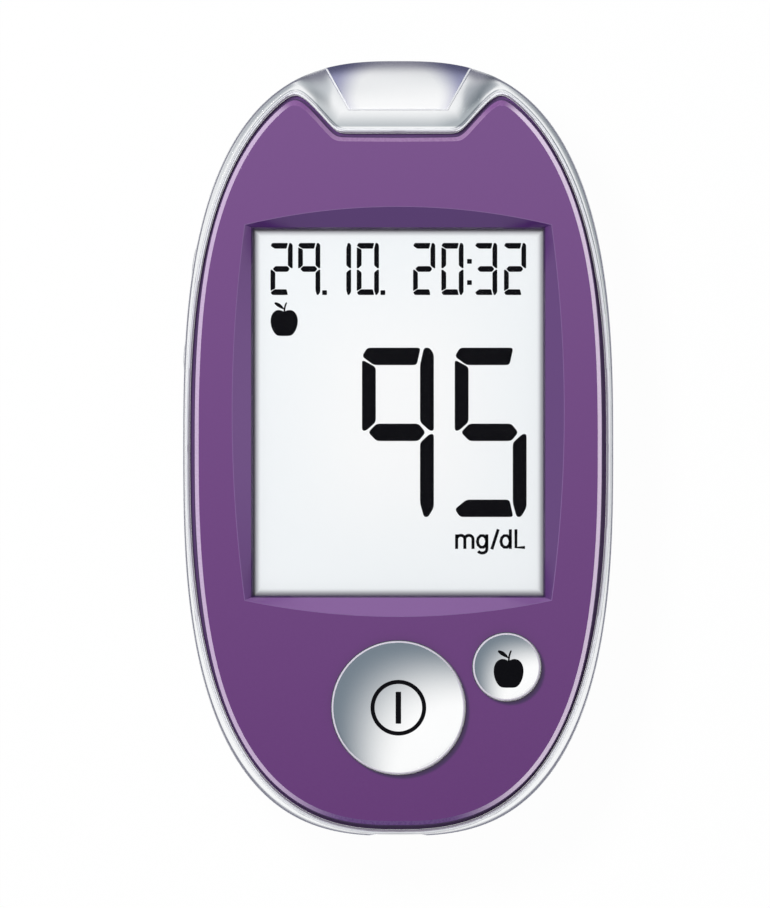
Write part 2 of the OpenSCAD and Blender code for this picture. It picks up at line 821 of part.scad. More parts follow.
// Crystal, two capacitors, a coil and two rows of small chips, below the board
module board_parts() {
    can_spot = [16.2, 27];
    can_r = 1.9;
    can_h = 2.6;
    crystal_spot = [side_row_x - 0.5, 11.5];
    crystal = [5, 3, 1.6];
    coil_spot = [side_row_x - 0.4, 20];
    coil_r = 2.6;
    coil_low_z = board_z - 2;
    coil_hole_r = 1.1;
    coil_hole_depth = 0.8;
    chips = 5;
    chip = [2, 1.2, 0.6];
    chip_pitch = 2.4;
    column_from = [-side_row_x - 0.2, 9.6];
    row_from = [13.15, -17];
    color("peru") {
        for (s = [-1, 1]) post([s * can_spot.x, can_spot.y], can_r, board_z - can_h, board_z);
        under_board(crystal_spot, crystal);
        difference() {
            post(coil_spot, coil_r, coil_low_z, board_z);
            post(coil_spot, coil_hole_r, coil_low_z - past, coil_low_z + coil_hole_depth);
        }
        for (i = [0:chips - 1]) {
            under_board(column_from + [0, i * chip_pitch], chip);
            under_board(row_from + [i * chip_pitch, 0], [chip.y, chip.x, chip.z]);
        }
    }
}

// Block soldered below the board, its middle at a spot
module under_board(spot, size) {
    block([spot.x - size.x / 2, spot.y - size.y / 2, board_z - size.z],
          [spot.x + size.x / 2, spot.y + size.y / 2, board_z]);
}

// Screws that hold the board to the posts of the front housing, driven from below
module board_screws() {
    socket_r = 0.5;
    socket_depth = 0.4;
    color("silver")
    for (s = board_screw_spots) difference() {
        union() {
            post(s, board_head_r, board_z - board_head_h, board_z);
            post(s, board_screw_r, board_z - bite, deck_z + bite);
        }
        post(s, socket_r, board_z - board_head_h - past, board_z - board_head_h + socket_depth, $fn = 6);
    }
}

// Back cover and battery door

module back_cover() {
    color("gainsboro")
    difference() {
        union() {
            difference() {
                lower_solid();
                lower_hollow();
            }
            tongue();
            intersection() {
                lower_solid();
                union() {
                    block([-rail_block_w, door_y - hook_l - rail_block_lap, back_floor - bite],
                          [rail_block_w, case_l, rail_roof_z + rail_roof_t]);
                    for (s = case_screw_spots) post(s, back_boss_r, back_floor - bite, boss_z);
                }
            }
            block([-bay_half_w_in - bay_wall, bay_start_y - bay_wall, rail_roof_z],
                  [bay_half_w_in + bay_wall, bay_end_y + bay_wall, bay_top + bay_roof]);
            ejector_guides();
        }
        block([-bay_half_w_in, bay_start_y, rail_z - past], [bay_half_w_in, bay_end_y, bay_top]);
        block([-door_half_w - door_gap, door_y - door_gap, -past],
              [door_half_w + door_gap, case_l, rail_z + slack]);
        block([-rail_half_w - door_gap, door_y - door_gap, rail_z - slack],
              [rail_half_w + door_gap, case_l, rail_roof_z]);
        block([-hook_w / 2 - slack, door_y - hook_l - 2 * door_gap, rail_z - slack],
              [hook_w / 2 + slack, door_y, rail_roof_z]);
        contact_slots();
        for (s = case_screw_spots) {
            post(s, head_r + bite, -past, screw_seat_z);
            post(s, screw_r + slack, screw_seat_z - past, boss_z + past);
        }
        ejector_cut();
        strip_notch();
    }
}

// Tongue that stands inside the front housing's wall, on a ledge of the back cover's wall
module tongue() {
    tongue_room = 3;
    difference() {
        union() {
            prism(plan([for (f = bearings) cavity_r(f, slack)], bearings), seam_z - bite, seam_z + tongue_h);
            prism(plan([for (f = inner_bearings) case_r(f, side_wall - bite)], inner_bearings),
                  seam_z - tongue_t, seam_z);
        }
        prism(plan([for (f = inner_bearings) case_r(f, side_wall + slack + tongue_t)], inner_bearings),
              seam_z - past, seam_z + past);
        for (s = case_screw_spots) post(s, boss_r + bite, seam_z - past, seam_z + past);
        block([pin_x - past, rocker_y - lug_half_l - bite, seam_z],
              [pin_x + past, rocker_y + lug_half_l + bite, seam_z + past]);
        block([-case_w / 2, cavity_y - tongue_room, seam_z], [case_w / 2, case_l, seam_z + past]);
    }
}

// Slots in the bay's ends and roof that hold the contact plates and let their tails through
module contact_slots() {
    half_w = tail_w / 2 + bite;
    for (s = [-1, 1])
        block([s * cell_pitch / 2 - half_w, bay_end_y - plate_t - slack, bay_top - bite],
              [s * cell_pitch / 2 + half_w, bay_end_y + slack / 2, board_z]);
}

// Rails and lips that hold the ejector down, with the seat of its spring
module ejector_guides() {
    lap = 1.6;
    guide_y0 = pad_y - eject_travel - slider_lap - lap;
    guide_y1 = pad_y + pad_l + lap;
    lip_z0 = slider_z + slider_t + slack;
    lip_z1 = lip_z0 + guide_lip_t;
    outer_x = slider_half_w + slack + guide_w;
    for (s = [0, 1]) mirror([s, 0, 0]) {
        block([slider_half_w + slack, guide_y0, back_floor - bite], [outer_x, guide_y1, lip_z1]);
        block([slider_half_w - guide_lip_w, guide_y0, lip_z0], [outer_x, guide_y1, lip_z1]);
    }
    block([-seat_half_w, seat_y - seat_t, back_floor - bite],
          [seat_half_w, seat_y, spring_z + spring_r + 2 * spring_wire]);
}

// Recess for the ejector's pad and the slot for its stem
module ejector_cut() {
    block([-pad_w / 2 - bite, pad_y - eject_travel - bite, -past],
          [pad_w / 2 + bite, pad_y + pad_l + bite, recess_z]);
    block([-stem_w / 2 - slack, finger_y - eject_travel - bite, -past],
          [stem_w / 2 + slack, finger_y + finger_t + bite, back_floor + slack]);
}

// Sliding door: plate, rail flanges and a hook that holds its closed end
module battery_door() {
    color("gainsboro")
    difference() {
        union() {
            intersection() {
                lower_solid();
                union() {
                    block([-door_half_w, door_y, -past], [door_half_w, case_l, door_t]);
                    for (s = [0, 1]) mirror([s, 0, 0])
                        block([rail_half_w - flange_w, door_y, rail_z],
                              [rail_half_w, case_l, rail_z + rail_t]);
                    for (s = [0, 1]) mirror([s, 0, 0])
                        block([rail_half_w - flange_w, door_y, door_t - bite],
                              [door_half_w, case_l, rail_z + bite]);
                }
            }
            block([-hook_w / 2, door_y - hook_l, rail_z],
                  [hook_w / 2, door_y + hook_root, rail_z + hook_t]);
            block([-hook_w / 2, door_y, door_t - bite], [hook_w / 2, door_y + hook_root, rail_z + bite]);
        }
        for (i = [0:grip_ribs - 1])
            block([-grip_w / 2, door_y + grip_from + i * grip_pitch, -past],
                  [grip_w / 2, door_y + grip_from + grip_rib_w + i * grip_pitch, grip_depth]);
    }
}

// Batteries and their contacts

// Cell along Y with its nub at the end that dir points to
module cell(x, low_y, dir) {
    can_r = battery_d / 2;
    crimp = 0.5;
    translate([x, low_y + battery_l / 2, cell_z]) rotate([-90 * dir, 0, 0])
        translate([0, 0, -battery_l / 2]) rotate_extrude()
            polygon([[0, 0], [can_r - crimp, 0], [can_r, crimp], [can_r, battery_l - nub_h - crimp],
                     [can_r - crimp, battery_l - nub_h], [nub_d / 2, battery_l - nub_h],
                     [nub_d / 2, battery_l - slack], [nub_d / 2 - slack, battery_l], [0, battery_l]]);
}

module battery_left() {
    color("goldenrod") cell(-cell_pitch / 2, bay_end_y - plate_t - battery_l, 1);
}

module battery_right() {
    color("goldenrod") cell(cell_pitch / 2, bay_start_y + plate_t, -1);
}

// Round wire wound about Z, from radius r0 at z = 0 to radius r1 at z = length
module coil(r0, r1, length, turns, wire_r) {
    per_turn = 14;
    sides = 8;
    n = per_turn * turns;
    rise = (length - 2 * wire_r) / n;
    loft([for (i = [0:n])
          let (a = 360 * i / per_turn, r = r0 + (r1 - r0) * i / n, z = wire_r + rise * i)
          [for (j = [0:sides - 1])
           let (b = 360 * j / sides, q = r + wire_r * cos(b))
           [q * cos(a), q * sin(a), z - wire_r * sin(b)]]]);
}

module battery_springs() {
    wire_r = 0.3;
    foot_r = 3.6;
    tip_r = 2.2;
    turns = 3;
    color("silver") {
        translate([-cell_pitch / 2, bay_start_y + plate_t, cell_z]) rotate([-90, 0, 0])
            coil(foot_r, tip_r, spring_l, turns, wire_r);
        translate([cell_pitch / 2, bay_end_y - plate_t, cell_z]) rotate([90, 0, 0])
            coil(foot_r, tip_r, spring_l, turns, wire_r);
    }
}

// One bridge at the lower end and two plates with tails at the upper end
module battery_plates() {
    low_z = cell_z - plate_half[1];
    high_z = cell_z + plate_half[1];
    color("silver") {
        block([-cell_pitch / 2 - plate_half[0], bay_start_y, low_z],
              [cell_pitch / 2 + plate_half[0], bay_start_y + plate_t, high_z]);
        for (s = [-1, 1]) translate([s * cell_pitch / 2, 0, 0]) {
            block([-plate_half[0], bay_end_y - plate_t, low_z], [plate_half[0], bay_end_y, high_z]);
            block([-tail_w / 2, bay_end_y - plate_t, high_z - bite], [tail_w / 2, bay_end_y, board_z]);
        }
    }
}

// Strip port and ejector

module strip_connector() {
    back_y = finger_y + finger_t + bite;
    slot_top = slot_z + strip_h;
    color("ivory")
    difference() {
        block([-connector_w / 2, connector_y0, connector_z], [connector_w / 2, connector_y1, board_z]);
        block([-strip_w / 2, connector_y0 - past, slot_z], [strip_w / 2, back_y, slot_top]);
        for (x = contact_spots())
            block([x - contact_w / 2 - slack, connector_y0 + past, slot_top - bite],
                  [x + contact_w / 2 + slack, connector_y1 + past, board_z + past]);
        block([-finger_w / 2 - bite, finger_y - eject_travel - bite, connector_z - past],
              [finger_w / 2 + bite, back_y, slot_top]);
    }
}

// Contacts to either side of the ejector's finger
function contact_spots() =
    [for (i = [0:contact_count - 1], side = i < contact_count / 2 ? -1 : 1)
     (i - (contact_count - 1) / 2 + side / 2) * contact_pitch];

module strip_contacts() {
    low_z = slot_z + strip_h - slack;
    tip_y = connector_y0 + 3;
    tail_y = connector_y1 + 0.6;
    tail_t = 0.3;
    color("gold")
    for (x = contact_spots()) translate([x, 0, 0]) {
        block([-contact_w / 2, tip_y, low_z], [contact_w / 2, tail_y, low_z + contact_t]);
        block([-contact_w / 2, tail_y - tail_t, low_z], [contact_w / 2, tail_y, board_z]);
    }
}

module ejector_slider() {
    stem_z1 = connector_z - slack - bite;
    color("gray")
    difference() {
        union() {
            block([-pad_w / 2, pad_y, pad_z], [pad_w / 2, pad_y + pad_l, pad_z + pad_t]);
            block([-stem_w / 2, finger_y, pad_z + pad_t - bite],
                  [stem_w / 2, finger_y + finger_t, stem_z1]);
            block([-slider_half_w, pad_y - slider_lap, slider_z],
                  [slider_half_w, pad_y + pad_l + slider_lap, slider_z + slider_t]);
            block([-finger_w / 2, finger_y, stem_z1 - bite],
                  [finger_w / 2, finger_y + finger_t, slot_z + strip_h - bite]);
        }
        for (i = [0:pad_ribs - 1]) {
            y = pad_y + pad_rib_from + i * grip_pitch;
            block([-pad_w / 2 + pad_rib_end, y, -past],
                  [pad_w / 2 - pad_rib_end, y + pad_rib_w, pad_z + pad_rib_depth]);
        }
    }
}

module ejector_spring() {
    turns = 8;
    color("silver")
    translate([0, seat_y, spring_z]) rotate([-90, 0, 0])
        coil(spring_r, spring_r, finger_y - seat_y, turns, spring_wire);
}

// Port cap and data port

module port_cap() {
    hollow_w = cap_leg_x - slack - bite;
    color("gainsboro")
    difference() {
        union() {
            intersection() {
                upper_solid(cap_rise);
                translate([0, 0, cap_floor_z + slack]) linear_extrude(lip_z) cap_plan(0);
            }
            for (s = [0, 1]) mirror([s, 0, 0])
                block([cap_leg_x, cap_y - cap_leg_l, cap_leg_z],
                      [cap_leg_x + cap_leg_w, cap_y + bite, cap_leg_z + cap_leg_w]);
        }
        block([-hollow_w, cap_y - past, jack_z - jack_room],
              [hollow_w, case_l / 2 - cap_wall, jack_z + jack_h + jack_room]);
    }
}

// Mid-mount jack: shell with a mouth, a tongue inside and a tab on each side
module data_port() {
    mid_z = jack_z + jack_h / 2;
    back_y = jack_y0 + jack_back;
    tongue_x = jack_w / 2 - jack_tongue_side;
    color("silver") {
        difference() {
            block([-jack_w / 2, jack_y0, jack_z], [jack_w / 2, jack_y1, jack_z + jack_h]);
            block([-jack_w / 2 + jack_wall, back_y, jack_z + jack_wall],
                  [jack_w / 2 - jack_wall, jack_y1 + past, jack_z + jack_h - jack_wall]);
        }
        block([-tongue_x, back_y - bite, mid_z - jack_tongue_t / 2],
              [tongue_x, jack_y1 - jack_tongue_in, mid_z + jack_tongue_t / 2]);
        for (s = [0, 1]) mirror([s, 0, 0])
            block([jack_w / 2 - bite, back_y, board_top],
                  [jack_w / 2 + jack_tab_w, back_y + jack_tab_l, board_top + jack_tab_t]);
    }
}

// Screws that hold the two shells together, driven from the back
module case_screws() {
    cross_half_l = 1.1;
    cross_half_w = 0.25;
    cross_depth = 0.7;
    color("silver")
    for (s = case_screw_spots) difference() {
        union() {
            post(s, head_r, screw_seat_z - head_h, screw_seat_z);
            post(s, screw_r, screw_seat_z - bite, screw_end_z);
        }
        for (a = [0, 90]) translate([s.x, s.y, 0]) rotate(a)
            block([-cross_half_l, -cross_half_w, screw_seat_z - head_h - past],
                  [cross_half_l, cross_half_w, screw_seat_z - head_h + cross_depth]);
    }
}

front_housing();
front_panel();
display_lens();
lcd_cell();
lcd_reflector();
lcd_frame();
zebra_strip();
main_board();
microcontroller();
buzzer();
board_parts();
board_screws();
power_button();
mark_button();
power_dome();
mark_dome();
side_rocker();
rocker_pin();
side_switches();
back_cover();
battery_door();
battery_left();
battery_right();
battery_springs();
battery_plates();
strip_connector();
strip_contacts();
ejector_slider();
ejector_spring();
port_cap();
data_port();
case_screws();
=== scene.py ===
import math
import bpy
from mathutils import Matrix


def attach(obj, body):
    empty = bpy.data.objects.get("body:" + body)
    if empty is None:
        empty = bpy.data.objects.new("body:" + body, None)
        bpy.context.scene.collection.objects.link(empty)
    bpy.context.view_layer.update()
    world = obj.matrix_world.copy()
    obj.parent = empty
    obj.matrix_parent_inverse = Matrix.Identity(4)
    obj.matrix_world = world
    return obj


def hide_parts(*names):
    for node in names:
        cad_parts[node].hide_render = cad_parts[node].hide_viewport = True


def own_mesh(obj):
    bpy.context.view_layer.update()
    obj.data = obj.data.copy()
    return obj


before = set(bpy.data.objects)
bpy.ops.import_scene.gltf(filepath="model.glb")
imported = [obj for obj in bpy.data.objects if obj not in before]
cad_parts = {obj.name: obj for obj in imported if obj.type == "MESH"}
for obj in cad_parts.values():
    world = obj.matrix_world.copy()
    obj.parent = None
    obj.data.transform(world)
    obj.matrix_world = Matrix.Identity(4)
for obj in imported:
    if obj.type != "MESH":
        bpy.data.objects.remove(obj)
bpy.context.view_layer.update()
print("frame loaded with", len(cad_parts), "nodes")

mm = 0.001


# a method of Value that adds a Math node; swapped, it takes a plain number on the left
def mathsMethod(operation, swapped=False):
    def method(self, other):
        pair = (other, self) if swapped else (self, other)
        return self.tree.maths(operation, *pair)

    return method


# one output of a node
class Value:
    def __init__(self, tree, socket):
        self.tree = tree
        self.socket = socket

    __add__ = mathsMethod("ADD")
    __radd__ = mathsMethod("ADD", True)
    __sub__ = mathsMethod("SUBTRACT")
    __rsub__ = mathsMethod("SUBTRACT", True)
    __mul__ = mathsMethod("MULTIPLY")
    __rmul__ = mathsMethod("MULTIPLY", True)
    __gt__ = mathsMethod("GREATER_THAN")
    __lt__ = mathsMethod("LESS_THAN")


class NodeTree:
    def __init__(self, owner):
        owner.use_nodes = True
        self.tree = owner.node_tree
        self.tree.nodes.clear()

    # settings come first, because some of them change the sockets
    def add(self, kind, settings=None, sockets=None, out=0):
        node = self.tree.nodes.new("ShaderNode" + kind)
        for name, setting in (settings or {}).items():
            setattr(node, name, setting)
        for name, given in (sockets or {}).items():
            if isinstance(given, Value):
                self.tree.links.new(given.socket, node.inputs[name])
            else:
                node.inputs[name].default_value = given
        return Value(self, node.outputs[out]) if len(node.outputs) else None

    def maths(self, operation, *given):
        return self.add("Math", {"operation": operation}, dict(enumerate(given)))

    def dot(self, vector, direction):
        return self.add("VectorMath", {"operation": "DOT_PRODUCT"}, {0: vector, 1: direction}, "Value")

    def place(self):
        return self.add("TexCoord", out="Object")

    # how far a place lies along a direction, in mm
    def along(self, direction):
        return self.dot(self.place(), [part / mm for part in direction])

    # 0 to 1 while a value goes from low to high
    def fade(self, value, low, high, smooth=True):
        kind = "SMOOTHSTEP" if smooth else "LINEAR"
        sockets = {"Value": value, "From Min": low, "From Max": high}
        return self.add("MapRange", {"interpolation_type": kind}, sockets)

    def blend(self, share, first, second):
        colours = [given if isinstance(given, Value) else (*given[:3], 1) for given in (first, second)]
        return self.add("Mix", {"data_type": "RGBA"}, {0: share, 6: colours[0], 7: colours[1]}, 2)

    # soft random pattern with features of a size in mm
    def cloud(self, size, detail=2.0, stretch=None):
        spot = self.place()
        if stretch:
            spot = self.add("Mapping", {}, {"Vector": spot, "Scale": stretch})
        return self.add("TexNoise", {}, {"Vector": spot, "Scale": 1 / (size * mm), "Detail": detail})

    def bump(self, height, depth, after=None):
        sockets = {"Height": height, "Distance": depth * mm, "Strength": 1.0}
        if after:
            sockets["Normal"] = after
        return self.add("Bump", {}, sockets)

    def surface(self, shader):
        self.add("OutputMaterial", {}, {"Surface": shader})

    # the shader of every finish on the meter; its further sockets are given by name
    def coat(self, colour, roughness, others):
        sockets = {"Base Color": colour, "Roughness": roughness, **others}
        self.surface(self.add("BsdfPrincipled", {}, sockets))


def newFinish(name):
    material = bpy.data.materials.new(name)
    return material, NodeTree(material)


shot = {"distance": 4.0, "height": 0.11482, "middle": (-0.00167, -0.00070), "focusZ": 0.0175, "sensor": 36.0}


def makeCamera():
    bpy.ops.object.camera_add(location=(*shot["middle"], shot["distance"] + shot["focusZ"]))
    camera = bpy.context.object
    camera.name = "mainCamera"
    camera.data.sensor_width = shot["sensor"]
    camera.data.lens = shot["sensor"] * shot["distance"] / shot["height"]
    camera.data.clip_end = 3 * shot["distance"]
    bpy.context.scene.camera = camera


stage = {"floorRadius": 0.11, "paper": 0.92, "white": 0.97, "grain": 0.02, "grainSize": 2.0}


def makeFloor():
    bpy.ops.mesh.primitive_circle_add(vertices=128, radius=stage["floorRadius"], fill_type="NGON")
    floor = bpy.context.object
    floor.name = "paleFloor"
    material, tree = newFinish("paleFloor")
    rays = [tree.add("LightPath", out=f"Is {kind} Ray") for kind in ("Camera", "Glossy", "Transmission")]
    share = tree.maths("MINIMUM", rays[0] + rays[1] + rays[2], 1.0) * stage["white"]
    grain = stage["paper"] + stage["grain"] * tree.cloud(stage["grainSize"])
    paper = tree.add("BsdfDiffuse", {}, {"Color": tree.blend(grain, (0, 0, 0), (1, 1, 1))})
    glow = tree.add("Emission", {}, {"Color": (1, 1, 1, 1), "Strength": 1.0})
    seen = tree.add("MixShader", {}, {0: share, 1: paper, 2: glow})
    # the floor is see-through from below, so the back of the meter can be looked at
    under = tree.add("NewGeometry", out="Backfacing")
    seeThrough = tree.add("BsdfTransparent")
    tree.surface(tree.add("MixShader", {}, {0: under, 1: seen, 2: seeThrough}))
    floor.data.materials.append(material)
    floor.visible_diffuse = False
    floor.visible_shadow = False


# light comes from all round, with a dark band at the horizon; dimmer patches give the silver its greys
sky = {"ring": (1.04, 1.04, 1.04), "low": (0.13, 0.13, 0.19), "lowFrom": 9, "lowTo": 31, "fill": 0.55,
       "patches": [{"colour": (0.24, 0.27, 0.30), "tilt": 55, "turn": 30, "size": (14, 32)},
                   {"colour": (0.35, 0.38, 0.42), "tilt": 48, "turn": 127, "size": (13, 27)},
                   {"colour": (0.58, 0.61, 0.64), "tilt": 60, "turn": 68, "size": (8, 22)}]}


# unit vector at an angle from straight up, turned round the vertical
def skyward(tilt, turn):
    return (math.sin(tilt) * math.cos(turn), math.sin(tilt) * math.sin(turn), math.cos(tilt))


def makeWorld():
    world = bpy.data.worlds.new("studio")
    bpy.context.scene.world = world
    tree = NodeTree(world)
    direction = tree.add("TexCoord", out="Generated")
    colour = (*sky["ring"], 1)
    for patch in sky["patches"]:
        middle = skyward(math.radians(patch["tilt"]), math.radians(patch["turn"]))
        inner, outer = (math.cos(math.radians(angle)) for angle in patch["size"])
        colour = tree.blend(tree.fade(tree.dot(direction, middle), outer, inner), colour, patch["colour"])
    high = tree.maths("ABSOLUTE", tree.dot(direction, (0, 0, 1)))
    start, end = (math.sin(math.radians(sky[name])) for name in ("lowFrom", "lowTo"))
    colour = tree.blend(tree.fade(high, start, end), sky["low"], colour)
    colour = tree.blend(tree.add("LightPath", out="Is Camera Ray"), colour, (1, 1, 1))
    strength = 1.0 - (1 - sky["fill"]) * tree.add("LightPath", out="Is Diffuse Ray")
    shade = tree.add("Background", {}, {"Color": colour, "Strength": strength})
    tree.add("OutputWorld", {}, {"Surface": shade})


lamp = {"distance": 0.6, "tilt": 25, "turn": 135, "size": 0.16, "watts": 2.15}


def makeLamp():
    tilt = math.radians(lamp["tilt"])
    turn = math.radians(lamp["turn"])
    spot = [part * lamp["distance"] for part in skyward(tilt, turn)]
    bpy.ops.object.light_add(type="AREA", location=spot, rotation=(0, tilt, turn))
    light = bpy.context.object
    light.name = "softLamp"
    light.data.shape = "DISK"
    light.data.size = lamp["size"]
    light.data.energy = lamp["watts"]
    light.visible_glossy = False


bpy.context.scene.view_settings.view_transform = "Standard"
makeCamera()
makeFloor()
makeWorld()
makeLamp()
print("camera, floor and light are in place")


def selectOnly(*pieces):
    bpy.ops.object.select_all(action="DESELECT")
    for piece in pieces:
        piece.select_set(True)
    bpy.context.view_layer.objects.active = pieces[0]


sameSpot = 0.0004


# closed skin through rings of points, all with the same count, from the first ring to the last
def skin(name, rings):
    bpy.ops.object.select_all(action="DESELECT")
    bpy.ops.mesh.primitive_grid_add(x_subdivisions=len(rings[0]), y_subdivisions=len(rings) - 1, size=1)
    piece = bpy.context.object
    piece.name = name
    rows = [point for ring in rings for point in ring + ring[:1]]
    piece.data.vertices.foreach_set("co", [part * mm for point in rows for part in point])
    selectOnly(piece)
    bpy.ops.object.mode_set(mode="EDIT")
    bpy.ops.mesh.select_all(action="SELECT")
    bpy.ops.mesh.remove_doubles(threshold=sameSpot * mm)
    bpy.ops.mesh.fill_holes(sides=0)
    bpy.ops.mesh.select_all(action="SELECT")
    bpy.ops.mesh.normals_make_consistent(inside=False)
    bpy.ops.object.mode_set(mode="OBJECT")
    return piece


# flat plate of any outline between two heights
def plate(name, outline, low, high):
    return skin(name, [[(x, y, z) for x, y in outline] for z in (low, high)])


# the piece that was added last, with its size and place taken into its mesh
def added(name):
    bpy.ops.object.transform_apply(location=True, rotation=True, scale=True)
    piece = bpy.context.object
    piece.name = name
    return piece


def block(name, low, high):
    middle = [(a + b) / 2 * mm for a, b in zip(low, high)]
    size = [(b - a) * mm for a, b in zip(low, high)]
    bpy.ops.object.select_all(action="DESELECT")
    bpy.ops.mesh.primitive_cube_add(size=1, location=middle, scale=size)
    return added(name)


def post(name, spot, radius, low, high, sides=48):
    middle = [part * mm for part in (*spot, (low + high) / 2)]
    tall = (high - low) * mm
    bpy.ops.object.select_all(action="DESELECT")
    bpy.ops.mesh.primitive_cylinder_add(vertices=sides, radius=radius * mm, depth=tall, location=middle)
    return added(name)


def applied(piece, kind, **settings):
    modifier = piece.modifiers.new(kind.lower(), kind)
    for name, setting in settings.items():
        setattr(modifier, name, setting)
    selectOnly(piece)
    bpy.ops.object.modifier_apply(modifier=modifier.name)


def combine(piece, tools, operation):
    for tool in tools:
        applied(piece, "BOOLEAN", operation=operation, solver="MANIFOLD", object=tool)
        bpy.data.objects.remove(tool, do_unlink=True)


def cut(piece, *tools):
    combine(piece, tools, "DIFFERENCE")


def weld(piece, *tools):
    combine(piece, tools, "UNION")


def cutBoxes(piece, boxes):
    for low, high in boxes:
        cut(piece, block("box", low, high))


def weldBoxes(piece, boxes):
    for low, high in boxes:
        weld(piece, block("box", low, high))


def joined(name, pieces):
    selectOnly(*pieces)
    bpy.ops.object.join()
    pieces[0].name = name
    return pieces[0]


def softenEdges(piece, width, steps=2):
    sharp = math.radians(30)
    applied(piece, "BEVEL", width=width * mm, segments=steps, limit_method="ANGLE", angle_limit=sharp)


def smooth(piece, angle):
    selectOnly(piece)
    bpy.ops.object.shade_smooth_by_angle(angle=math.radians(angle))
    applied(piece, "WEIGHTED_NORMAL", keep_sharp=True)


# last step of every piece: smooth shading up to an angle, finish, body and replaced nodes
def settle(piece, finish, body, nodes, angle=30):
    if angle:
        smooth(piece, angle)
    piece.data.materials.clear()
    for material in finish if isinstance(finish, list) else [finish]:
        piece.data.materials.append(material)
    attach(piece, body)
    if nodes:
        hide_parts(*nodes)
    return piece


# every facet of a piece with its middle in mm
def facetsOf(piece):
    return [(facet, *(part / mm for part in facet.center)) for facet in piece.data.polygons]


def clamped(share):
    return min(max(share, 0.0), 1.0)


# points all round a circle of radius 1
def circle(sides):
    angles = [2 * math.pi * side / sides for side in range(sides)]
    return [(math.cos(angle), math.sin(angle)) for angle in angles]


case = {"width": 54.4, "length": 98.0, "power": 2.77, "seam": 10.0, "wall": 2.0, "shoulder": 0.74,
        "turn": 0.85, "backRound": 6.2, "backFloor": 1.8, "cavityY": 42.0}
face = {"rimSide": 1.08, "rimEnd": 1.03, "power": 2.6, "groove": 0.5, "land": 0.25, "bayY": 39.64,
        "bayHalf": 7.83, "bayAngle": math.radians(41.3), "cornerSharp": 90, "apexSharp": 36}
level = {"deck": 16.2, "seat": 17.2, "lens": 17.95, "lip": 18.6, "panel": 19.1, "key": 20.0, "boardTop": 14.3}
past = 1  # how far a cutter runs on past the faces it opens


def superRadius(bearing, halfWidth, halfLength, power):
    across = abs(math.sin(bearing)) / halfWidth
    along = abs(math.cos(bearing)) / halfLength
    return (across ** power + along ** power) ** (-1 / power)


def caseRadius(bearing, inset=0.0):
    return superRadius(bearing, case["width"] / 2 - inset, case["length"] / 2 - inset, case["power"])


def sideX(y, inset=0.0):
    share = (abs(y) / (case["length"] / 2 - inset)) ** case["power"]
    return (case["width"] / 2 - inset) * (1 - share) ** (1 / case["power"])


def bayRadius(bearing, inset):
    flat = (face["bayY"] - inset) / math.cos(bearing)
    angle = face["bayAngle"]
    reach = math.sin(angle) * face["bayY"] - math.cos(angle) * face["bayHalf"] - inset
    slant = reach / math.sin(angle - bearing)
    far = max(flat, slant)
    power = face["cornerSharp"]
    return far * ((flat / far) ** power + (slant / far) ** power) ** (1 / power)


# outline of the panel moved inwards; a negative inset lies out on the silver rim
def panelRadius(bearing, inset=0.0):
    turned = min(bearing, 2 * math.pi - bearing)
    edge = superRadius(turned, case["width"] / 2 - face["rimSide"] - inset,
                       case["length"] / 2 - face["rimEnd"] - inset, face["power"])
    if turned > face["bayAngle"] - math.radians(2):
        return edge
    power = face["apexSharp"]
    return edge * (1 + (edge / bayRadius(turned, inset)) ** power) ** (-1 / power)


def cavityRadius(bearing, inset=0.0):
    wall = caseRadius(bearing, case["wall"] + inset)
    ahead = math.cos(bearing)
    return min(wall, (case["cavityY"] - inset) / ahead) if ahead > 0 else wall


# bearings are counted from the top end; they lie close together along the bay
def halfTurn():
    spans = [(0, 8, 1.0), (8, 21, 0.25), (21, 31, 0.5), (31, 180, 1.0)]
    return [start + step * i for start, end, step in spans for i in range(round((end - start) / step))]


half = halfTurn()
bearings = [math.radians(angle) for angle in half + [180] + [360 - angle for angle in half[:0:-1]]]


def spotAt(bearing, radius, z):
    return (-radius * math.sin(bearing), radius * math.cos(bearing), z)


def ringOf(radius, z):
    return [spotAt(bearing, radius(bearing), z) for bearing in bearings]


# 1 at a bearing in degrees, on both sides, and falling away from it
def hill(bearing, middle, spread):
    turned = math.degrees(min(bearing, 2 * math.pi - bearing))
    return math.exp(-((turned - middle) / spread) ** 2)


# ring along the outside of the case, moved inwards
def caseRing(inset, z):
    return ringOf(lambda bearing: caseRadius(bearing, inset), z)


def shoulderDrop(share):
    return case["shoulder"] * (1 - math.sqrt(1 - (case["turn"] * share) ** 2))


# height of the plain shoulder above a place, given by its bearing and its distance from the middle
def shoulderLevel(bearing, radius):
    inner = panelRadius(bearing, -face["groove"] / 2 - face["land"])
    width = caseRadius(bearing) - inner
    return level["lip"] - width * shoulderDrop(clamped((radius - inner) / width))


def roundDrop(reach, radius):
    return radius - math.sqrt(radius ** 2 - (radius - reach) ** 2) if reach < radius else 0.0


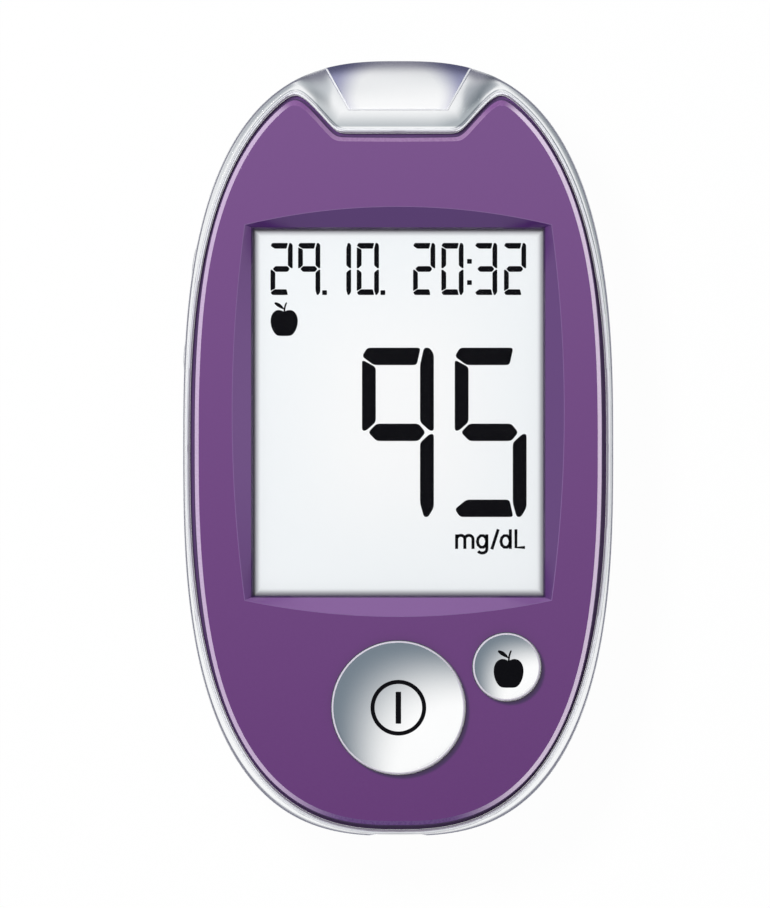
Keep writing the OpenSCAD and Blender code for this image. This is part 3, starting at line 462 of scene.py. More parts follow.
# bead and ledge as (distance out from the panel's outline, rise); the dip runs along the foot of the bead
# where the shoulder is wide, and the slope along its outer edge
shell = {"seamChamfer": 0.12, "edgeRound": 0.03, "edgeSteps": (0, 0.01), "shoulderSteps": 28,
         "slant": 0.27, "slope": 0.24, "wider": 0.8, "widest": 160, "spread": 17,
         "dip": 0.095, "dipFrom": 1.0, "dipTo": 2.2, "narrow": 1.5, "wide": 3.5,
         "bead": [(0.80, 0.0), (0.745, 0.025), (0.69, 0.055), (0.64, 0.072), (0.60, 0.072), (0.565, 0.05),
                  (0.535, 0.0), (0.51, -0.14), (0.47, -0.16), (0.45, -0.085)],
         "ledge": [(0.42, -0.07), (0.36, -0.07), (0.30, -0.075), (0.27, -0.10), (0.252, -0.2)],
         "ledgeFrom": 0.24, "ledgeTo": 0.46, "beadTo": 0.81, "upright": 0.2}


# how far a place on the shoulder lies below the plain shoulder
def shoulderCut(bearing, radius):
    out = radius - panelRadius(bearing)
    width = caseRadius(bearing) - panelRadius(bearing)
    share = clamped((shell["dipTo"] - out) / (shell["dipTo"] - shell["dipFrom"]))
    wide = clamped((width - shell["narrow"]) / (shell["wide"] - shell["narrow"]))
    reach = shell["slant"] * (1 + shell["wider"] * hill(bearing, shell["widest"], shell["spread"]))
    slant = max(reach - (caseRadius(bearing) - radius), 0.0)
    return shell["dip"] * share ** 2 * wide + shell["slope"] * slant


def silverLevel(bearing, radius):
    return shoulderLevel(bearing, radius) - shoulderCut(bearing, radius)


def shellBody():
    edge = shell["edgeRound"]
    rings = [caseRing(shell["seamChamfer"], case["seam"]), caseRing(0.0, case["seam"] + shell["seamChamfer"])]
    for reach in shell["edgeSteps"]:
        drop = roundDrop(reach, edge)
        radii = [caseRadius(bearing) - reach for bearing in bearings]
        rings.append([spotAt(b, r, silverLevel(b, r) - drop) for b, r in zip(bearings, radii)])
    start = shell["bead"][0][0]
    for step in range(shell["shoulderSteps"]):
        share = (1 + math.cos(math.pi * step / shell["shoulderSteps"])) / 2
        ring = []
        for bearing in bearings:
            inner = panelRadius(bearing, -start)
            radius = inner + (caseRadius(bearing) - edge - inner) * share
            ring.append(spotAt(bearing, radius, silverLevel(bearing, radius)))
        rings.append(ring)
    for inset, rise in shell["bead"] + shell["ledge"]:
        radii = [panelRadius(bearing, -inset) for bearing in bearings]
        rings.append([spotAt(b, r, shoulderLevel(b, r) + rise) for b, r in zip(bearings, radii)])
    rings.append(ringOf(lambda bearing: panelRadius(bearing, -face["groove"] / 2), level["seat"]))
    return skin("upperShell", rings)


window = {"width": 36.7, "height": 46.3, "y": 4.55, "side": 1.0, "end": 0.55, "bulgeSide": 1.6,
          "bulgeTop": 2.3, "bulgeBottom": 2.05, "edge": 0.4, "lap": 0.95, "steps": 24, "lipDrop": 0.05,
          "lipWidth": 0.09, "edgeSlant": 0.26, "gap": 0.1, "low": 16, "thick": 0.7, "soft": 0.08,
          "sunk": 0.01}
keys = {"power": {"spot": (0.0, -32.75), "radius": 8.43, "body": "power_key", "node": "power_button"},
        "mark": {"spot": (13.7, -27.6), "radius": 4.28, "body": "mark_key", "node": "mark_button"},
        "gap": 0.1, "flange": 0.57, "flangeTop": 17.1, "flangeLow": 15.9, "plunger": 1.5, "plungerLow": 15.4,
        "dish": 0.7}
keyNames = ("power", "mark")
capPlan = {"y": 42.9, "half": 6.2, "flare": math.radians(29), "gap": 0.12, "rise": 0.25, "floor": 11.0,
           "wall": 2.6, "grown": 0.10, "leg": (4.7, 5.7), "legLow": 14.75, "legHigh": 15.75, "legLength": 2.9,
           "legGap": 0.1, "legSunk": 0.2, "holeEnd": 52, "holeTop": 30, "hollowHalf": 4.4, "hollowFrom": 41,
           "hollowLow": 12.6, "hollowHigh": 16.4, "middleY": 46.0, "floorGap": 0.1}
rocker = {"length": 20.25, "y": 17.78, "gap": 0.2, "low": 11.2, "high": 16.05, "thick": 1.5, "proud": 0.16,
          "dip": 0.11, "padFrom": 0.2, "soft": 0.3, "steps": 96, "holeX": -40, "pinX": -24.28,
          "pinRadius": 0.5, "pinGap": 0.06, "pinLow": 10, "pinHigh": 17, "lug": 1.15, "switchPitch": 6.5,
          "stemHalf": 0.6, "stemIn": 0.5, "stemOut": 0.15, "stemLow": 14.7, "stemHigh": 15.4,
          "arrowTip": 1.3, "arrowFoot": 0.7, "arrowHalf": 1.15, "arrowFrom": 1, "arrowTo": 0.17}
notch = {"width": 8.4, "depth": 0.4, "low": 8.4, "high": 20.6}
screws = {"bearings": (27.3, 157.8), "inset": 4.7, "boss": 2.3, "bossLow": 8.05, "bossSunk": 0.1,
          "hole": 1.05, "holeLow": 6, "holeHigh": 13.5}
slot = ((-3.8, -51, 11.5), (3.8, -46.8, 12.8))
jack = ((-3.95, 41.8, 13.1), (3.95, 45, 15.9))


def screwSpots():
    spots = []
    for side in (-1, 1):
        for angle in screws["bearings"]:
            bearing = math.radians(angle)
            radius = caseRadius(bearing, screws["inset"])
            spots.append((side * radius * math.sin(bearing), radius * math.cos(bearing)))
    return spots


def windowBlock(name, gap, low, high):
    halfWidth = window["width"] / 2 + gap
    halfHeight = window["height"] / 2 + gap
    middle = window["y"]
    return block(name, (-halfWidth, middle - halfHeight, low), (halfWidth, middle + halfHeight, high))


def capOutline(gap, endY):
    near = capPlan["half"] + gap
    startY = capPlan["y"] - gap
    far = near + (endY - capPlan["y"]) * math.tan(capPlan["flare"])
    return [(-near, startY), (near, startY), (far, endY), (-far, endY)]


# block round one leg of the cap, on one side; the gap is left all round it
def legBlock(side, gap, startY, endY):
    left, right = sorted((side * (capPlan["leg"][0] - gap), side * (capPlan["leg"][1] + gap)))
    return block("leg", (left, startY, capPlan["legLow"] - gap), (right, endY, capPlan["legHigh"] + gap))


def notchTool():
    radius = (notch["width"] ** 2 / 4 + notch["depth"] ** 2) / (2 * notch["depth"])
    spot = (0, -case["length"] / 2 + notch["depth"] - radius)
    return post("notchTool", spot, radius, notch["low"], notch["high"], sides=512)


def makeShell():
    body = shellBody()
    under = level["deck"] - past
    over = level["seat"] + past
    cut(body, skin("hollow", [ringOf(cavityRadius, z) for z in (case["seam"] - 2 * past, level["deck"])]))
    for spot in screwSpots():
        weld(body, post("boss", spot, screws["boss"], screws["bossLow"], level["deck"] + screws["bossSunk"]))
    cut(body, windowBlock("opening", window["gap"], under, over))
    for key in keyNames:
        radius = keys[key]["radius"] + keys["flange"] + keys["gap"]
        cut(body, post("keyHole", keys[key]["spot"], radius, under, over, sides=96))
    holeOutline = capOutline(capPlan["gap"], capPlan["holeEnd"])
    cut(body, plate("capHole", holeOutline, capPlan["floor"], capPlan["holeTop"]))
    cutBoxes(body, [jack])
    for side in (-1, 1):
        cut(body, legBlock(side, capPlan["legGap"], jack[0][1], jack[1][1]))
    halfLength = rocker["length"] / 2 + rocker["gap"]
    near, far = rocker["y"] - halfLength, rocker["y"] + halfLength
    low = rocker["low"] - rocker["gap"]
    inner = -sideX(far, case["wall"]) + past
    cut(body, block("rockerHole", (rocker["holeX"], near, low), (inner, far, level["deck"])))
    for spot in screwSpots():
        cut(body, post("screwHole", spot, screws["hole"], screws["holeLow"], screws["holeHigh"], sides=24))
    cutBoxes(body, [slot])
    cut(body, notchTool())
    settle(body, [silver, paintedShadeLedge, paintedShadeSide, paintedBeadHighlight], "case", ["front_housing"])
    ledge, sides, bead = 1, 2, 3  # places in that list of finishes
    # painted light on the shell: the ledge and the steep sides take painted shade, the bead a painted
    # highlight
    for facet, x, y, z in facetsOf(body):
        reach = math.hypot(x, y) - panelRadius(math.atan2(abs(x), y))
        upward = facet.normal.z
        if upward > shell["upright"] and shell["ledgeFrom"] < reach < shell["ledgeTo"]:
            facet.material_index = ledge
        elif upward > shell["upright"] and shell["ledgeTo"] < reach < shell["beadTo"]:
            facet.material_index = bead
        elif abs(upward) < shell["upright"] and reach > shell["ledgeTo"]:
            facet.material_index = sides
    return body


# outline as (distance out from the panel's edge line, height), from the foot in the groove to the top; each
# hill moves the wall and the bevel out round one bearing and is given as (degrees, spread, size)
panel = {"outline": [(0.2, 17.2), (0.2, 17.42), (-0.25, 17.5), (-0.25, 18.38), (-0.27, 18.60), (-0.40, 18.71),
                     (-0.62, 18.87), (-0.84, 19.06), (-0.89, 19.095), (-0.96, 19.1)],
         "hills": [(35, 23, 0.26), (151, 18, 0.28)], "recessSide": 3, "recessEnd": 3.2, "foot": 18.3,
         "dark": 18.66, "bevelTilt": (0.3, 0.99), "recessTilt": (0.1, 0.995)}


def panelRing(inset, z):
    def radius(bearing):
        grown = sum(size * hill(bearing, middle, spread) for middle, spread, size in panel["hills"])
        return panelRadius(bearing, -inset - (grown if inset < 0 else 0.0))

    return ringOf(radius, z)


# one turn round the window, counterclockwise from its lower left corner
def windowTurn(side, end, bulgeSide, bulgeLow, bulgeHigh, z):
    steps = window["steps"]
    shares = [2 * step / steps - 1 for step in range(steps)]
    halfWidth = window["width"] / 2 + side
    halfHeight = window["height"] / 2 + end
    middle = window["y"]
    turn = []
    for sign, bulge in ((1, bulgeLow), (-1, bulgeHigh)):
        for u in shares:
            turn.append((sign * halfWidth * u, middle - sign * (halfHeight + bulge * (1 - u * u)), z))
        for u in shares:
            turn.append((sign * (halfWidth + bulgeSide * (1 - u * u)), middle + sign * halfHeight * u, z))
    return turn


def recessTool():
    bulges = (window["bulgeSide"], window["bulgeBottom"], window["bulgeTop"])
    grown = window["lipWidth"]
    slant = window["edgeSlant"]
    rings = [windowTurn(0, 0, 0, 0, 0, level["lens"] - window["sunk"]),
             windowTurn(slant, slant, 0, 0, 0, level["lens"] + window["edge"]),
             windowTurn(window["side"], window["end"], *bulges, level["panel"] - window["lipDrop"]),
             windowTurn(window["side"] + grown, window["end"] + grown, *bulges, level["panel"]),
             windowTurn(window["side"] + grown, window["end"] + grown, *bulges, level["panel"] + past)]
    return skin("recess", rings)


def makePanel():
    low = window["low"]
    body = skin("facePanel", [panelRing(inset, z) for inset, z in panel["outline"]])
    cut(body, recessTool())
    cut(body, windowBlock("through", 0.0, low, level["panel"]))
    cut(body, windowBlock("lensPocket", window["lap"] + window["gap"], low, level["lens"]))
    for key in keyNames:
        radius = keys[key]["radius"] + keys["gap"]
        cut(body, post("keyHole", keys[key]["spot"], radius, low, level["key"], sides=160))
    settle(body, purples, "case", ["front_panel"])
    halfWidth = window["width"] / 2 + panel["recessSide"]
    halfHeight = window["height"] / 2 + panel["recessEnd"]
    for facet, x, y, z in facetsOf(body):
        inRecess = abs(x) < halfWidth and abs(y - window["y"]) < halfHeight
        facet.material_index = recessPart(facet.normal, z) if inRecess else edgePart(facet.normal, z)
    return body


# which purple a facet takes: 0 face, 1 outer bevel, 2 to 4 recess top, sides and foot, 5 recess line,
# 6 window edge, 7 foot in the groove, 8 lower part of the bevel; 1 to 6 and 8 carry painted light and shade
def edgePart(normal, z):
    if z < panel["foot"]:
        return 7
    if z < panel["dark"]:
        return 8
    low, high = panel["bevelTilt"]
    return 1 if low < normal.z < high else 0


def recessPart(normal, z):
    low, high = panel["recessTilt"]
    if normal.z < low or normal.z > high:
        return 0
    if z < level["lens"] + window["edge"]:
        return 6
    if z > level["panel"] - window["lipDrop"]:
        return 5
    if abs(normal.x) > abs(normal.y):
        return 3
    return 2 if normal.y < 0 else 4


def makeLens():
    body = windowBlock("clearWindow", window["lap"], level["seat"], level["seat"] + window["thick"])
    softenEdges(body, window["soft"])
    return settle(body, clear, "case", ["display_lens"])


display = {"z": 17.152, "thick": 0.02, "corner": 0.12, "dotCorner": 0.1,
           "small": {"height": 6.58, "width": 2.8, "upright": 0.60, "bar": 0.72, "gap": 0.17, "y": 19.41},
           "large": {"height": 21.4, "width": 9.08, "upright": 1.74, "bar": 2.19, "gap": 0.42, "y": -8.66}}
digitParts = {"0": "abcdef", "1": "bc", "2": "abged", "3": "abgcd", "5": "afgcd", "9": "abcfg"}
smallRow = [("2", -16.15), ("9", -12.66), ("1", -8.76), ("0", -5.24), ("2", 1.88), ("0", 5.46), ("3", 9.72),
            ("2", 13.38)]
smallDots = [(-9.61, 19.41), (-2.24, 19.41), (8.71, 20.68), (8.71, 23.36)]
largeRow = [("9", -4.58), ("5", 7.15)]


# outlines of the seven bars of a digit, from its lower left corner
def digitBars(size):
    w, h, s, t, g = (size[name] for name in ("width", "height", "upright", "bar", "gap"))
    m = h / 2
    above, below = m + g / 2, m - g / 2
    inner, soft = w - s, 0.3 * s
    end = inner - g
    left, right = 0.55 * s + 0.4 * t, w - 0.6 * s - 0.4 * t
    return {
        "a": [(0, h - 0.5 * t), (0.3 * t, h), (end + 0.28 * s, h), (end, h - t), (0.85 * s, h - t)],
        "b": [(inner + 0.28 * s, h), (w - soft, h), (w, h - 0.45 * s), (w, above), (w - soft, above),
              (inner, above + 0.5 * t), (inner, h - t)],
        "c": [(w, below), (w - soft, below), (inner, below - 0.5 * t), (inner, 0.8 * t), (w - 0.72 * s, 0),
              (w - 0.4 * s, 0), (w, 0.55 * t)],
        "d": [(0, 0.45 * t), (0.3 * t, 0), (end + 0.28 * s, 0), (end, t), (0.85 * s, t)],
        "e": [(0, below), (soft, below), (s, below - 0.5 * t), (s, t + 0.6 * g), (0, 0.45 * t + g)],
        "f": [(0, h - 0.5 * t - g), (s, h - t - 0.6 * g), (s, above + 0.5 * t), (soft, above), (0, above)],
        "g": [(0.45 * s, m), (left, m + t / 2), (right, m + t / 2), (w - 0.6 * s, m), (right, m - t / 2),
              (left, m - t / 2)]}


# every corner of an outline cut off by a short arc
def rounded(outline, radius, steps=4, most=0.45):  # most: the share of an edge that a corner may take
    made = []
    count = len(outline)
    for place, corner in enumerate(outline):
        before = outline[place - 1]
        after = outline[(place + 1) % count]
        ends = []
        for other in (before, after):
            length = math.dist(corner, other)
            reach = min(radius, length * most) / length
            ends.append([c + (o - c) * reach for c, o in zip(corner, other)])
        for step in range(steps + 1):
            u = step / steps
            made.append(tuple((1 - u) ** 2 * a + 2 * u * (1 - u) * c + u * u * b
                              for a, c, b in zip(ends[0], corner, ends[1])))
    return made


def inkPlate(outline, shift=(0, 0)):
    moved = [(x + shift[0], y + shift[1]) for x, y in outline]
    return plate("ink", moved, display["z"], display["z"] + display["thick"])


def makeDigits():
    pieces = []
    for row, size in ((smallRow, display["small"]), (largeRow, display["large"])):
        bars = digitBars(size)
        corner = size["upright"] * display["corner"] * 2
        for digit, left in row:
            for part in digitParts[digit]:
                pieces.append(inkPlate(rounded(bars[part], corner), (left, size["y"])))
    dot = display["small"]["upright"]
    square = rounded([(0, 0), (dot, 0), (dot, dot), (0, dot)], display["dotCorner"])
    return pieces + [inkPlate(square, spot) for spot in smallDots]


# whole fruit with a stalk and a leaf: right half of the body, from the dip to the foot
fruit = {"body": [(0.0, 0.84), (0.12, 0.93), (0.28, 0.99), (0.48, 1.0), (0.70, 0.91), (0.88, 0.70),
                  (0.98, 0.40), (1.0, 0.12), (0.96, -0.22), (0.85, -0.55), (0.68, -0.83), (0.46, -1.0)],
         "leaf": [(0.02, 1.02), (-0.10, 1.28), (-0.35, 1.52), (-0.66, 1.62), (-0.74, 1.50), (-0.52, 1.28),
                  (-0.25, 1.13)],
         "stalk": [(-0.05, 0.8), (0.07, 0.8), (0.09, 1.15), (0.16, 1.4), (0.23, 1.58), (0.12, 1.6),
                   (0.02, 1.36), (-0.04, 1.1)],
         "bodyCorner": 0.3, "thinCorner": 0.12, "steps": 5, "shown": ((1.725, 1.64), (-14.42, 15.87))}


def fruitOutlines(size, middle):
    right = fruit["body"]
    left = [(-x, y) for x, y in right[::-1] if x > 0]
    shapes = [(right + left, "bodyCorner"), (fruit["leaf"], "thinCorner"), (fruit["stalk"], "thinCorner")]
    outlines = []
    for points, corner in shapes:
        placed = [(middle[0] + x * size[0], middle[1] + y * size[1]) for x, y in points]
        outlines.append(rounded(placed, fruit[corner] * size[0], fruit["steps"]))
    return outlines


# the unit beside the large digits, drawn with a round pen: strokes through points, in units of the height
letters = {"pen": 0.155, "wide": 1.10, "left": 7.14, "base": -12.70, "tall": 2.48, "steps": 10}


def arcPoints(middle, radii, start, end):
    steps = letters["steps"]
    turns = [math.radians(start + (end - start) * step / steps) for step in range(steps + 1)]
    return [(middle[0] + radii[0] * math.cos(a), middle[1] + radii[1] * math.sin(a)) for a in turns]


def letterStrokes():
    low, mid, hump = 0.075, 0.38, 0.69
    bowl = (0.215, hump - mid)
    return [[(0.09, 0.0), (0.09, 0.74)],
            arcPoints((0.28, 0.50), (0.19, 0.19), 180, 0) + [(0.47, 0.0)],
            arcPoints((0.66, 0.50), (0.19, 0.19), 180, 0) + [(0.85, 0.0)],
            arcPoints((1.27, mid), bowl, 0, 360),
            [(1.49, 0.74), (1.49, 0.0)] + arcPoints((1.275, -0.02), (0.215, 0.19), 0, -150),
            [(1.72, -0.02), (2.02, 1.0)],
            arcPoints((2.36, mid), bowl, 0, 360),
            [(2.58, 1.0), (2.58, 0.0)],
            [(2.84, 1.0), (2.84, low), (3.26, low)]]


# band of a pen's width along a line, with mitred corners
def band(points, width, touching=0.01):
    closed = math.dist(points[0], points[-1]) < touching
    spots = points[:-1] if closed else points
    count = len(spots)
    sides = ([], [])
    for place, (x, y) in enumerate(spots):
        before = spots[place - 1] if closed or place else spots[place]
        after = spots[(place + 1) % count] if closed or place < count - 1 else spots[place]
        length = math.dist(before, after)
        across = (-(after[1] - before[1]) / length, (after[0] - before[0]) / length)
        for side, sign in zip(sides, (0.5, -0.5)):
            side.append((x + sign * width * across[0], y + sign * width * across[1]))
    return sides, closed


def makeUnits():
    pieces = []
    tall = letters["tall"]
    wide = tall * letters["wide"]
    low, high = display["z"], display["z"] + display["thick"]
    for points in letterStrokes():
        placed = [(letters["left"] + x * wide, letters["base"] + y * tall) for x, y in points]
        (one, other), closed = band(placed, letters["pen"] * tall)
        if closed:
            turn = ((one, low), (one, high), (other, high), (other, low), (one, low))
            pieces.append(skin("ring", [[(x, y, z) for x, y in side] for side, z in turn]))
        else:
            pieces.append(plate("stroke", one + other[::-1], low, high))
    return pieces


def makeDisplay():
    fruitPieces = [inkPlate(outline) for outline in fruitOutlines(*fruit["shown"])]
    ink = joined("displayInk", makeDigits() + fruitPieces + makeUnits())
    settle(ink, lcdInk, "case", [], None)


# rim as (distance in from the edge, height against the key's top)
keyTop = {"rim": [(0.0, -0.26), (0.008, -0.185), (0.03, -0.13), (0.07, -0.095), (0.22, -0.012), (0.255, 0.0)],
          "dishFrom": 0.3, "lipDrop": 0.015, "rimWide": 0.15, "rimDeep": 0.25, "dishSteps": 24, "sides": 160,
          "print": 0.015, "axis": 0.02}


# body of revolution; the profile is given as (radius, height)
def turned(name, spot, profile, sides):
    return skin(name, [[(spot[0] + r * u, spot[1] + r * v, z) for u, v in circle(sides)] for r, z in profile])


def keyShape(name, key, rise=0.0):
    radius = keys[key]["radius"]
    top = level["key"] + rise
    profile = [(keys["plunger"], keys["plungerLow"]), (keys["plunger"], keys["flangeLow"]),
               (radius + keys["flange"], keys["flangeLow"]), (radius + keys["flange"], keys["flangeTop"]),
               (radius, keys["flangeTop"])]
    profile += [(radius - inset, top + drop) for inset, drop in keyTop["rim"]]
    steps = keyTop["dishSteps"]
    dish = radius - keyTop["dishFrom"]
    deep = keys["dish"] * radius / keys["power"]["radius"]
    lip = keyTop["lipDrop"]
    for step in range(steps):
        share = 1 - step / steps
        profile.append((dish * share, top - lip - (deep - lip) * (1 - share * share)))
    profile.append((keyTop["axis"], top - deep))
    return turned(name, keys[key]["spot"], profile, keyTop["sides"])


def printOn(key, name, tools):
    for tool in tools:
        combine(tool, [keyShape("copy", key, keyTop["print"])], "INTERSECT")
    symbol = joined(name, tools)
    return settle(symbol, keyInk, keys[key]["body"], [])


signDepth = (18.7, 20.4)
powerSign = {"ring": 3.52, "stroke": 0.52, "bar": (0.35, 2.02), "middle": (0.02, -32.77), "corner": 0.1}
fruitSign = {"size": (1.9, 1.82), "middle": (13.95, -28.42)}


def makeKeys():
    for key in keyNames:
        body = keyShape(key + "Key", key)
        settle(body, [keySilvers[key], paintedKeyRimHighlight], keys[key]["body"], [keys[key]["node"]], 40)
        middle = keys[key]["spot"]
        # the rim facets take the painted highlight
        for facet, x, y, z in facetsOf(body):
            onRim = math.dist((x, y), middle) > keys[key]["radius"] - keyTop["rimWide"]
            if z > level["key"] - keyTop["rimDeep"] and onRim:
                facet.material_index = 1
    low, high = signDepth
    outer = powerSign["ring"]
    inner = outer - powerSign["stroke"]
    turn = [(outer, low), (outer, high), (inner, high), (inner, low), (outer, low)]
    ring = turned("ring", powerSign["middle"], turn, 128)
    x, y = powerSign["middle"]
    wide, tall = powerSign["bar"]
    corners = [(x - wide, y - tall), (x + wide, y - tall), (x + wide, y + tall), (x - wide, y + tall)]
    printOn("power", "powerSign", [ring, plate("bar", rounded(corners, powerSign["corner"]), low, high)])
    outlines = fruitOutlines(fruitSign["size"], fruitSign["middle"])
    printOn("mark", "fruitSign", [plate("fruit", outline, low, high) for outline in outlines])


# a share is how far in a ring of the cap's top lies: 1 at the rim, 0 in the middle
capEdge = {"bevel": 0.20, "bevelDrop": 0.09, "inner": 48, "side": 16, "outer": 72, "attempts": 20,
           "shares": [1, 0.997, 0.993, 0.988, 0.98, 0.97, 0.95, 0.92, 0.88, 0.83, 0.77, 0.7, 0.62, 0.54, 0.45,
                      0.36, 0.27, 0.18, 0.1, 0.03]}


# outline of the cap: straight inner edge, straight side, arc along the case, straight side
def capRim():
    near = capPlan["half"] + capPlan["grown"]
    start = capPlan["y"] - capPlan["grown"]
    halfWidth, halfLength, power = case["width"] / 2, case["length"] / 2, case["power"]
    y = halfLength
    for attempt in range(capEdge["attempts"]):
        corner = near + (y - start) * math.tan(capPlan["flare"])
        y = (1 - (corner / halfWidth) ** power) ** (1 / power) * halfLength
    points = [(-near + 2 * near * i / capEdge["inner"], start) for i in range(capEdge["inner"])]
    shares = [i / capEdge["side"] for i in range(capEdge["side"])]
    right = [(near + (corner - near) * share, start + (y - start) * share) for share in shares]
    arc = []
    for i in range(capEdge["outer"] + 1):
        bearing = math.atan2(corner, y) * (2 * i / capEdge["outer"] - 1)
        radius = caseRadius(bearing)
        arc.append((-radius * math.sin(bearing), radius * math.cos(bearing)))
    return points + right + arc + [(-x, y) for x, y in right[:0:-1]]


# how far a place on the cap lies in from its three straight edges
def capReach(x, y):
    slope = capPlan["flare"]
    ahead = y - capPlan["y"] + capPlan["grown"]
    aside = (capPlan["half"] + capPlan["grown"] - abs(x)) * math.cos(slope) + ahead * math.sin(slope)
    return max(min(ahead, aside), 0.0)


# height of the cap's top above a place
def capTop(x, y):
    drop = capEdge["bevelDrop"] * max(1 - capReach(x, y) / capEdge["bevel"], 0.0)
    return shoulderLevel(math.atan2(abs(x), y), math.hypot(x, y)) + capPlan["rise"] - drop


def makeCap():
    rim = capRim()
    middleY = capPlan["middleY"]
    rings = [[(x, y, capPlan["floor"] + capPlan["floorGap"]) for x, y in rim]]
    for share in capEdge["shares"]:
        spots = [(x * share, middleY + (y - middleY) * share) for x, y in rim]
        rings.append([(x, y, capTop(x, y)) for x, y in spots])
    body = skin("portCap", rings)
    half = capPlan["hollowHalf"]
    wallY = case["length"] / 2 - capPlan["wall"]
    corner = (half, wallY, capPlan["hollowHigh"])
    cut(body, block("hollow", (-half, capPlan["hollowFrom"], capPlan["hollowLow"]), corner))
    for side in (-1, 1):
        weld(body, legBlock(side, 0, capPlan["y"] - capPlan["legLength"], capPlan["y"] + capPlan["legSunk"]))
    settle(body, [capSilver, paintedBeadHighlight], "cap", ["port_cap"], 20)
    # the cap's bevel facets take the painted highlight
    for facet, x, y, z in facetsOf(body):
        if z > level["seat"] - 1 and capReach(x, y) < capEdge["bevel"]:
            facet.material_index = 1
    return body


# how far the side key stands out beyond the case, at a share of -1 to 1 along it
def rockerEdge(place):
    share = max(0.0, abs(place) - rocker["padFrom"]) / (1 - rocker["padFrom"])
    return (rocker["proud"] + rocker["dip"]) * math.sin(math.pi * share) ** 2 - rocker["dip"]


# stem that reaches one switch, and the arrow cut into the pad over it
def rockerEnd(body, side):
    y = rocker["y"] + side * rocker["switchPitch"]
    half = rocker["stemHalf"]
    inner = -sideX(y, case["wall"]) - rocker["stemOut"]
    low, high = rocker["stemLow"], rocker["stemHigh"]
    weld(body, block("stem", (-sideX(y) + rocker["stemIn"], y - half, low), (inner, y + half, high)))
    tip = y + side * rocker["arrowTip"]
    foot = y - side * rocker["arrowFoot"]
    wide = rocker["arrowHalf"]
    z = (rocker["low"] + rocker["high"]) / 2
    surface = -sideX(y) - rocker["proud"]
    ends = (surface - rocker["arrowFrom"], surface + rocker["arrowTo"])
    cut(body, skin("arrow", [[(x, tip, z), (x, foot, z - wide), (x, foot, z + wide)] for x in ends]))


def makeRocker():
    halfLength = rocker["length"] / 2
    outline = []
    for step in range(rocker["steps"] + 1):
        place = 2 * step / rocker["steps"] - 1
        y = rocker["y"] - halfLength * place
        outline.append((-sideX(y) - rockerEdge(place), y))
    for y in (rocker["y"] - halfLength, rocker["y"] + halfLength):
        outline.append((-sideX(y) + rocker["thick"], y))
    body = plate("sideKey", outline, rocker["low"], rocker["high"])
    softenEdges(body, rocker["soft"], 4)
    spot = (rocker["pinX"], rocker["y"])
    weld(body, post("lug", spot, rocker["lug"], rocker["low"], rocker["high"]))
    for side in (-1, 1):
        rockerEnd(body, side)
    hole = rocker["pinRadius"] + rocker["pinGap"]
    cut(body, post("pinHole", spot, hole, rocker["pinLow"], rocker["pinHigh"]))
    return settle(body, silver, "side_key", ["side_rocker"])


# back cover; boxes are given as (low corner, high corner)
back = {"steps": 24, "insideSteps": 12, "flatEdge": 1.0, "tongue": (9.8, 10.9), "tongueGap": 0.1,
        "tongueEdge": 2.9, "tongueCut": (8, 12), "ledgeLow": 9.2,
        "tongueCuts": [((-26.28, 15.98, 10), (-22.28, 19.58, 12)), ((-30, 39, 10), (30, 50, 12))],
        "deck": ((-15.6, -14.7, 1.6), (15.6, 50, 3.65)),
        "boxes": [((-12.15, -8.3, 2.65), (12.15, 41.8, 13.15)), ((4.1, -44.8, 1.6), (5.1, -29, 3.3)),
                  ((3.3, -44.8, 2.8), (5.1, -29, 3.3)), ((-5.1, -44.8, 1.6), (-4.1, -29, 3.3)),
                  ((-5.1, -44.8, 2.8), (-3.3, -29, 3.3)), ((-2.2, -45, 1.6), (2.2, -44, 6.9))],
        "rooms": [((-10.95, -7.1, -0.3), (10.95, 40.6, 12.6)), ((-14.35, -12.25, 1.6), (14.35, 50, 2.65)),
                  ((-3.1, -13.6, 1.6), (3.1, -12.1, 2.65)), ((4.25, 40.2, 12.4), (6.65, 40.65, 13.3)),
                  ((-6.65, 40.2, 12.4), (-4.25, 40.65, 13.3)), ((-1.6, -39.1, 0.5), (1.6, -32.5, 1.9))],
        "pocket": ((-13.05, -12.25), (13.05, 52)), "pocketDeep": 1.8, "thumb": ((-4.7, -42.8), (4.7, -30.4)),
        "thumbDeep": 0.95, "thumbCorner": 0.9, "label": ((-11.5, -27.5), (11.5, -15.8)), "labelDeep": 0.12,
        "labelCorner": 1.2, "labelSlope": 0.05, "post": 3.2, "postTop": 8.0, "head": 2.1, "headTop": 6.0,
        "hole": 1.1, "holeLow": 4, "holeHigh": 10, "tongueBoss": 2.6}
door = {"plate": ((-12.9, -12.1), (12.9, 52)), "corner": 0.5, "layers": [(-0.1, 0.2), (0.1, 0.0), (1.6, 0.0)],
        "boxes": [((11.6, -12.1, 1.7), (14.2, 50, 2.5)), ((-14.2, -12.1, 1.7), (-11.6, 50, 2.5)),
                  ((11.6, -12.1, 1.4), (12.9, 50, 1.9)), ((-12.9, -12.1, 1.4), (-11.6, 50, 1.9))],
        "hook": [((-3, -13.3, 1.7), (3, -10.1, 2.3)), ((-3, -12.1, 1.4), (3, -10.1, 1.9))],
        "ribs": 5, "rib": ((-8, -6.1), (8, -5.3)), "ribPitch": 1.6, "ribDeep": 0.4,
        "arrow": [(0, 8.4), (2.6, 5.2), (1.0, 5.2), (1.0, 2.6), (-1.0, 2.6), (-1.0, 5.2), (-2.6, 5.2)],
        "arrowDeep": 0.22, "ribCorner": 0.3, "ribSlope": 0.15}


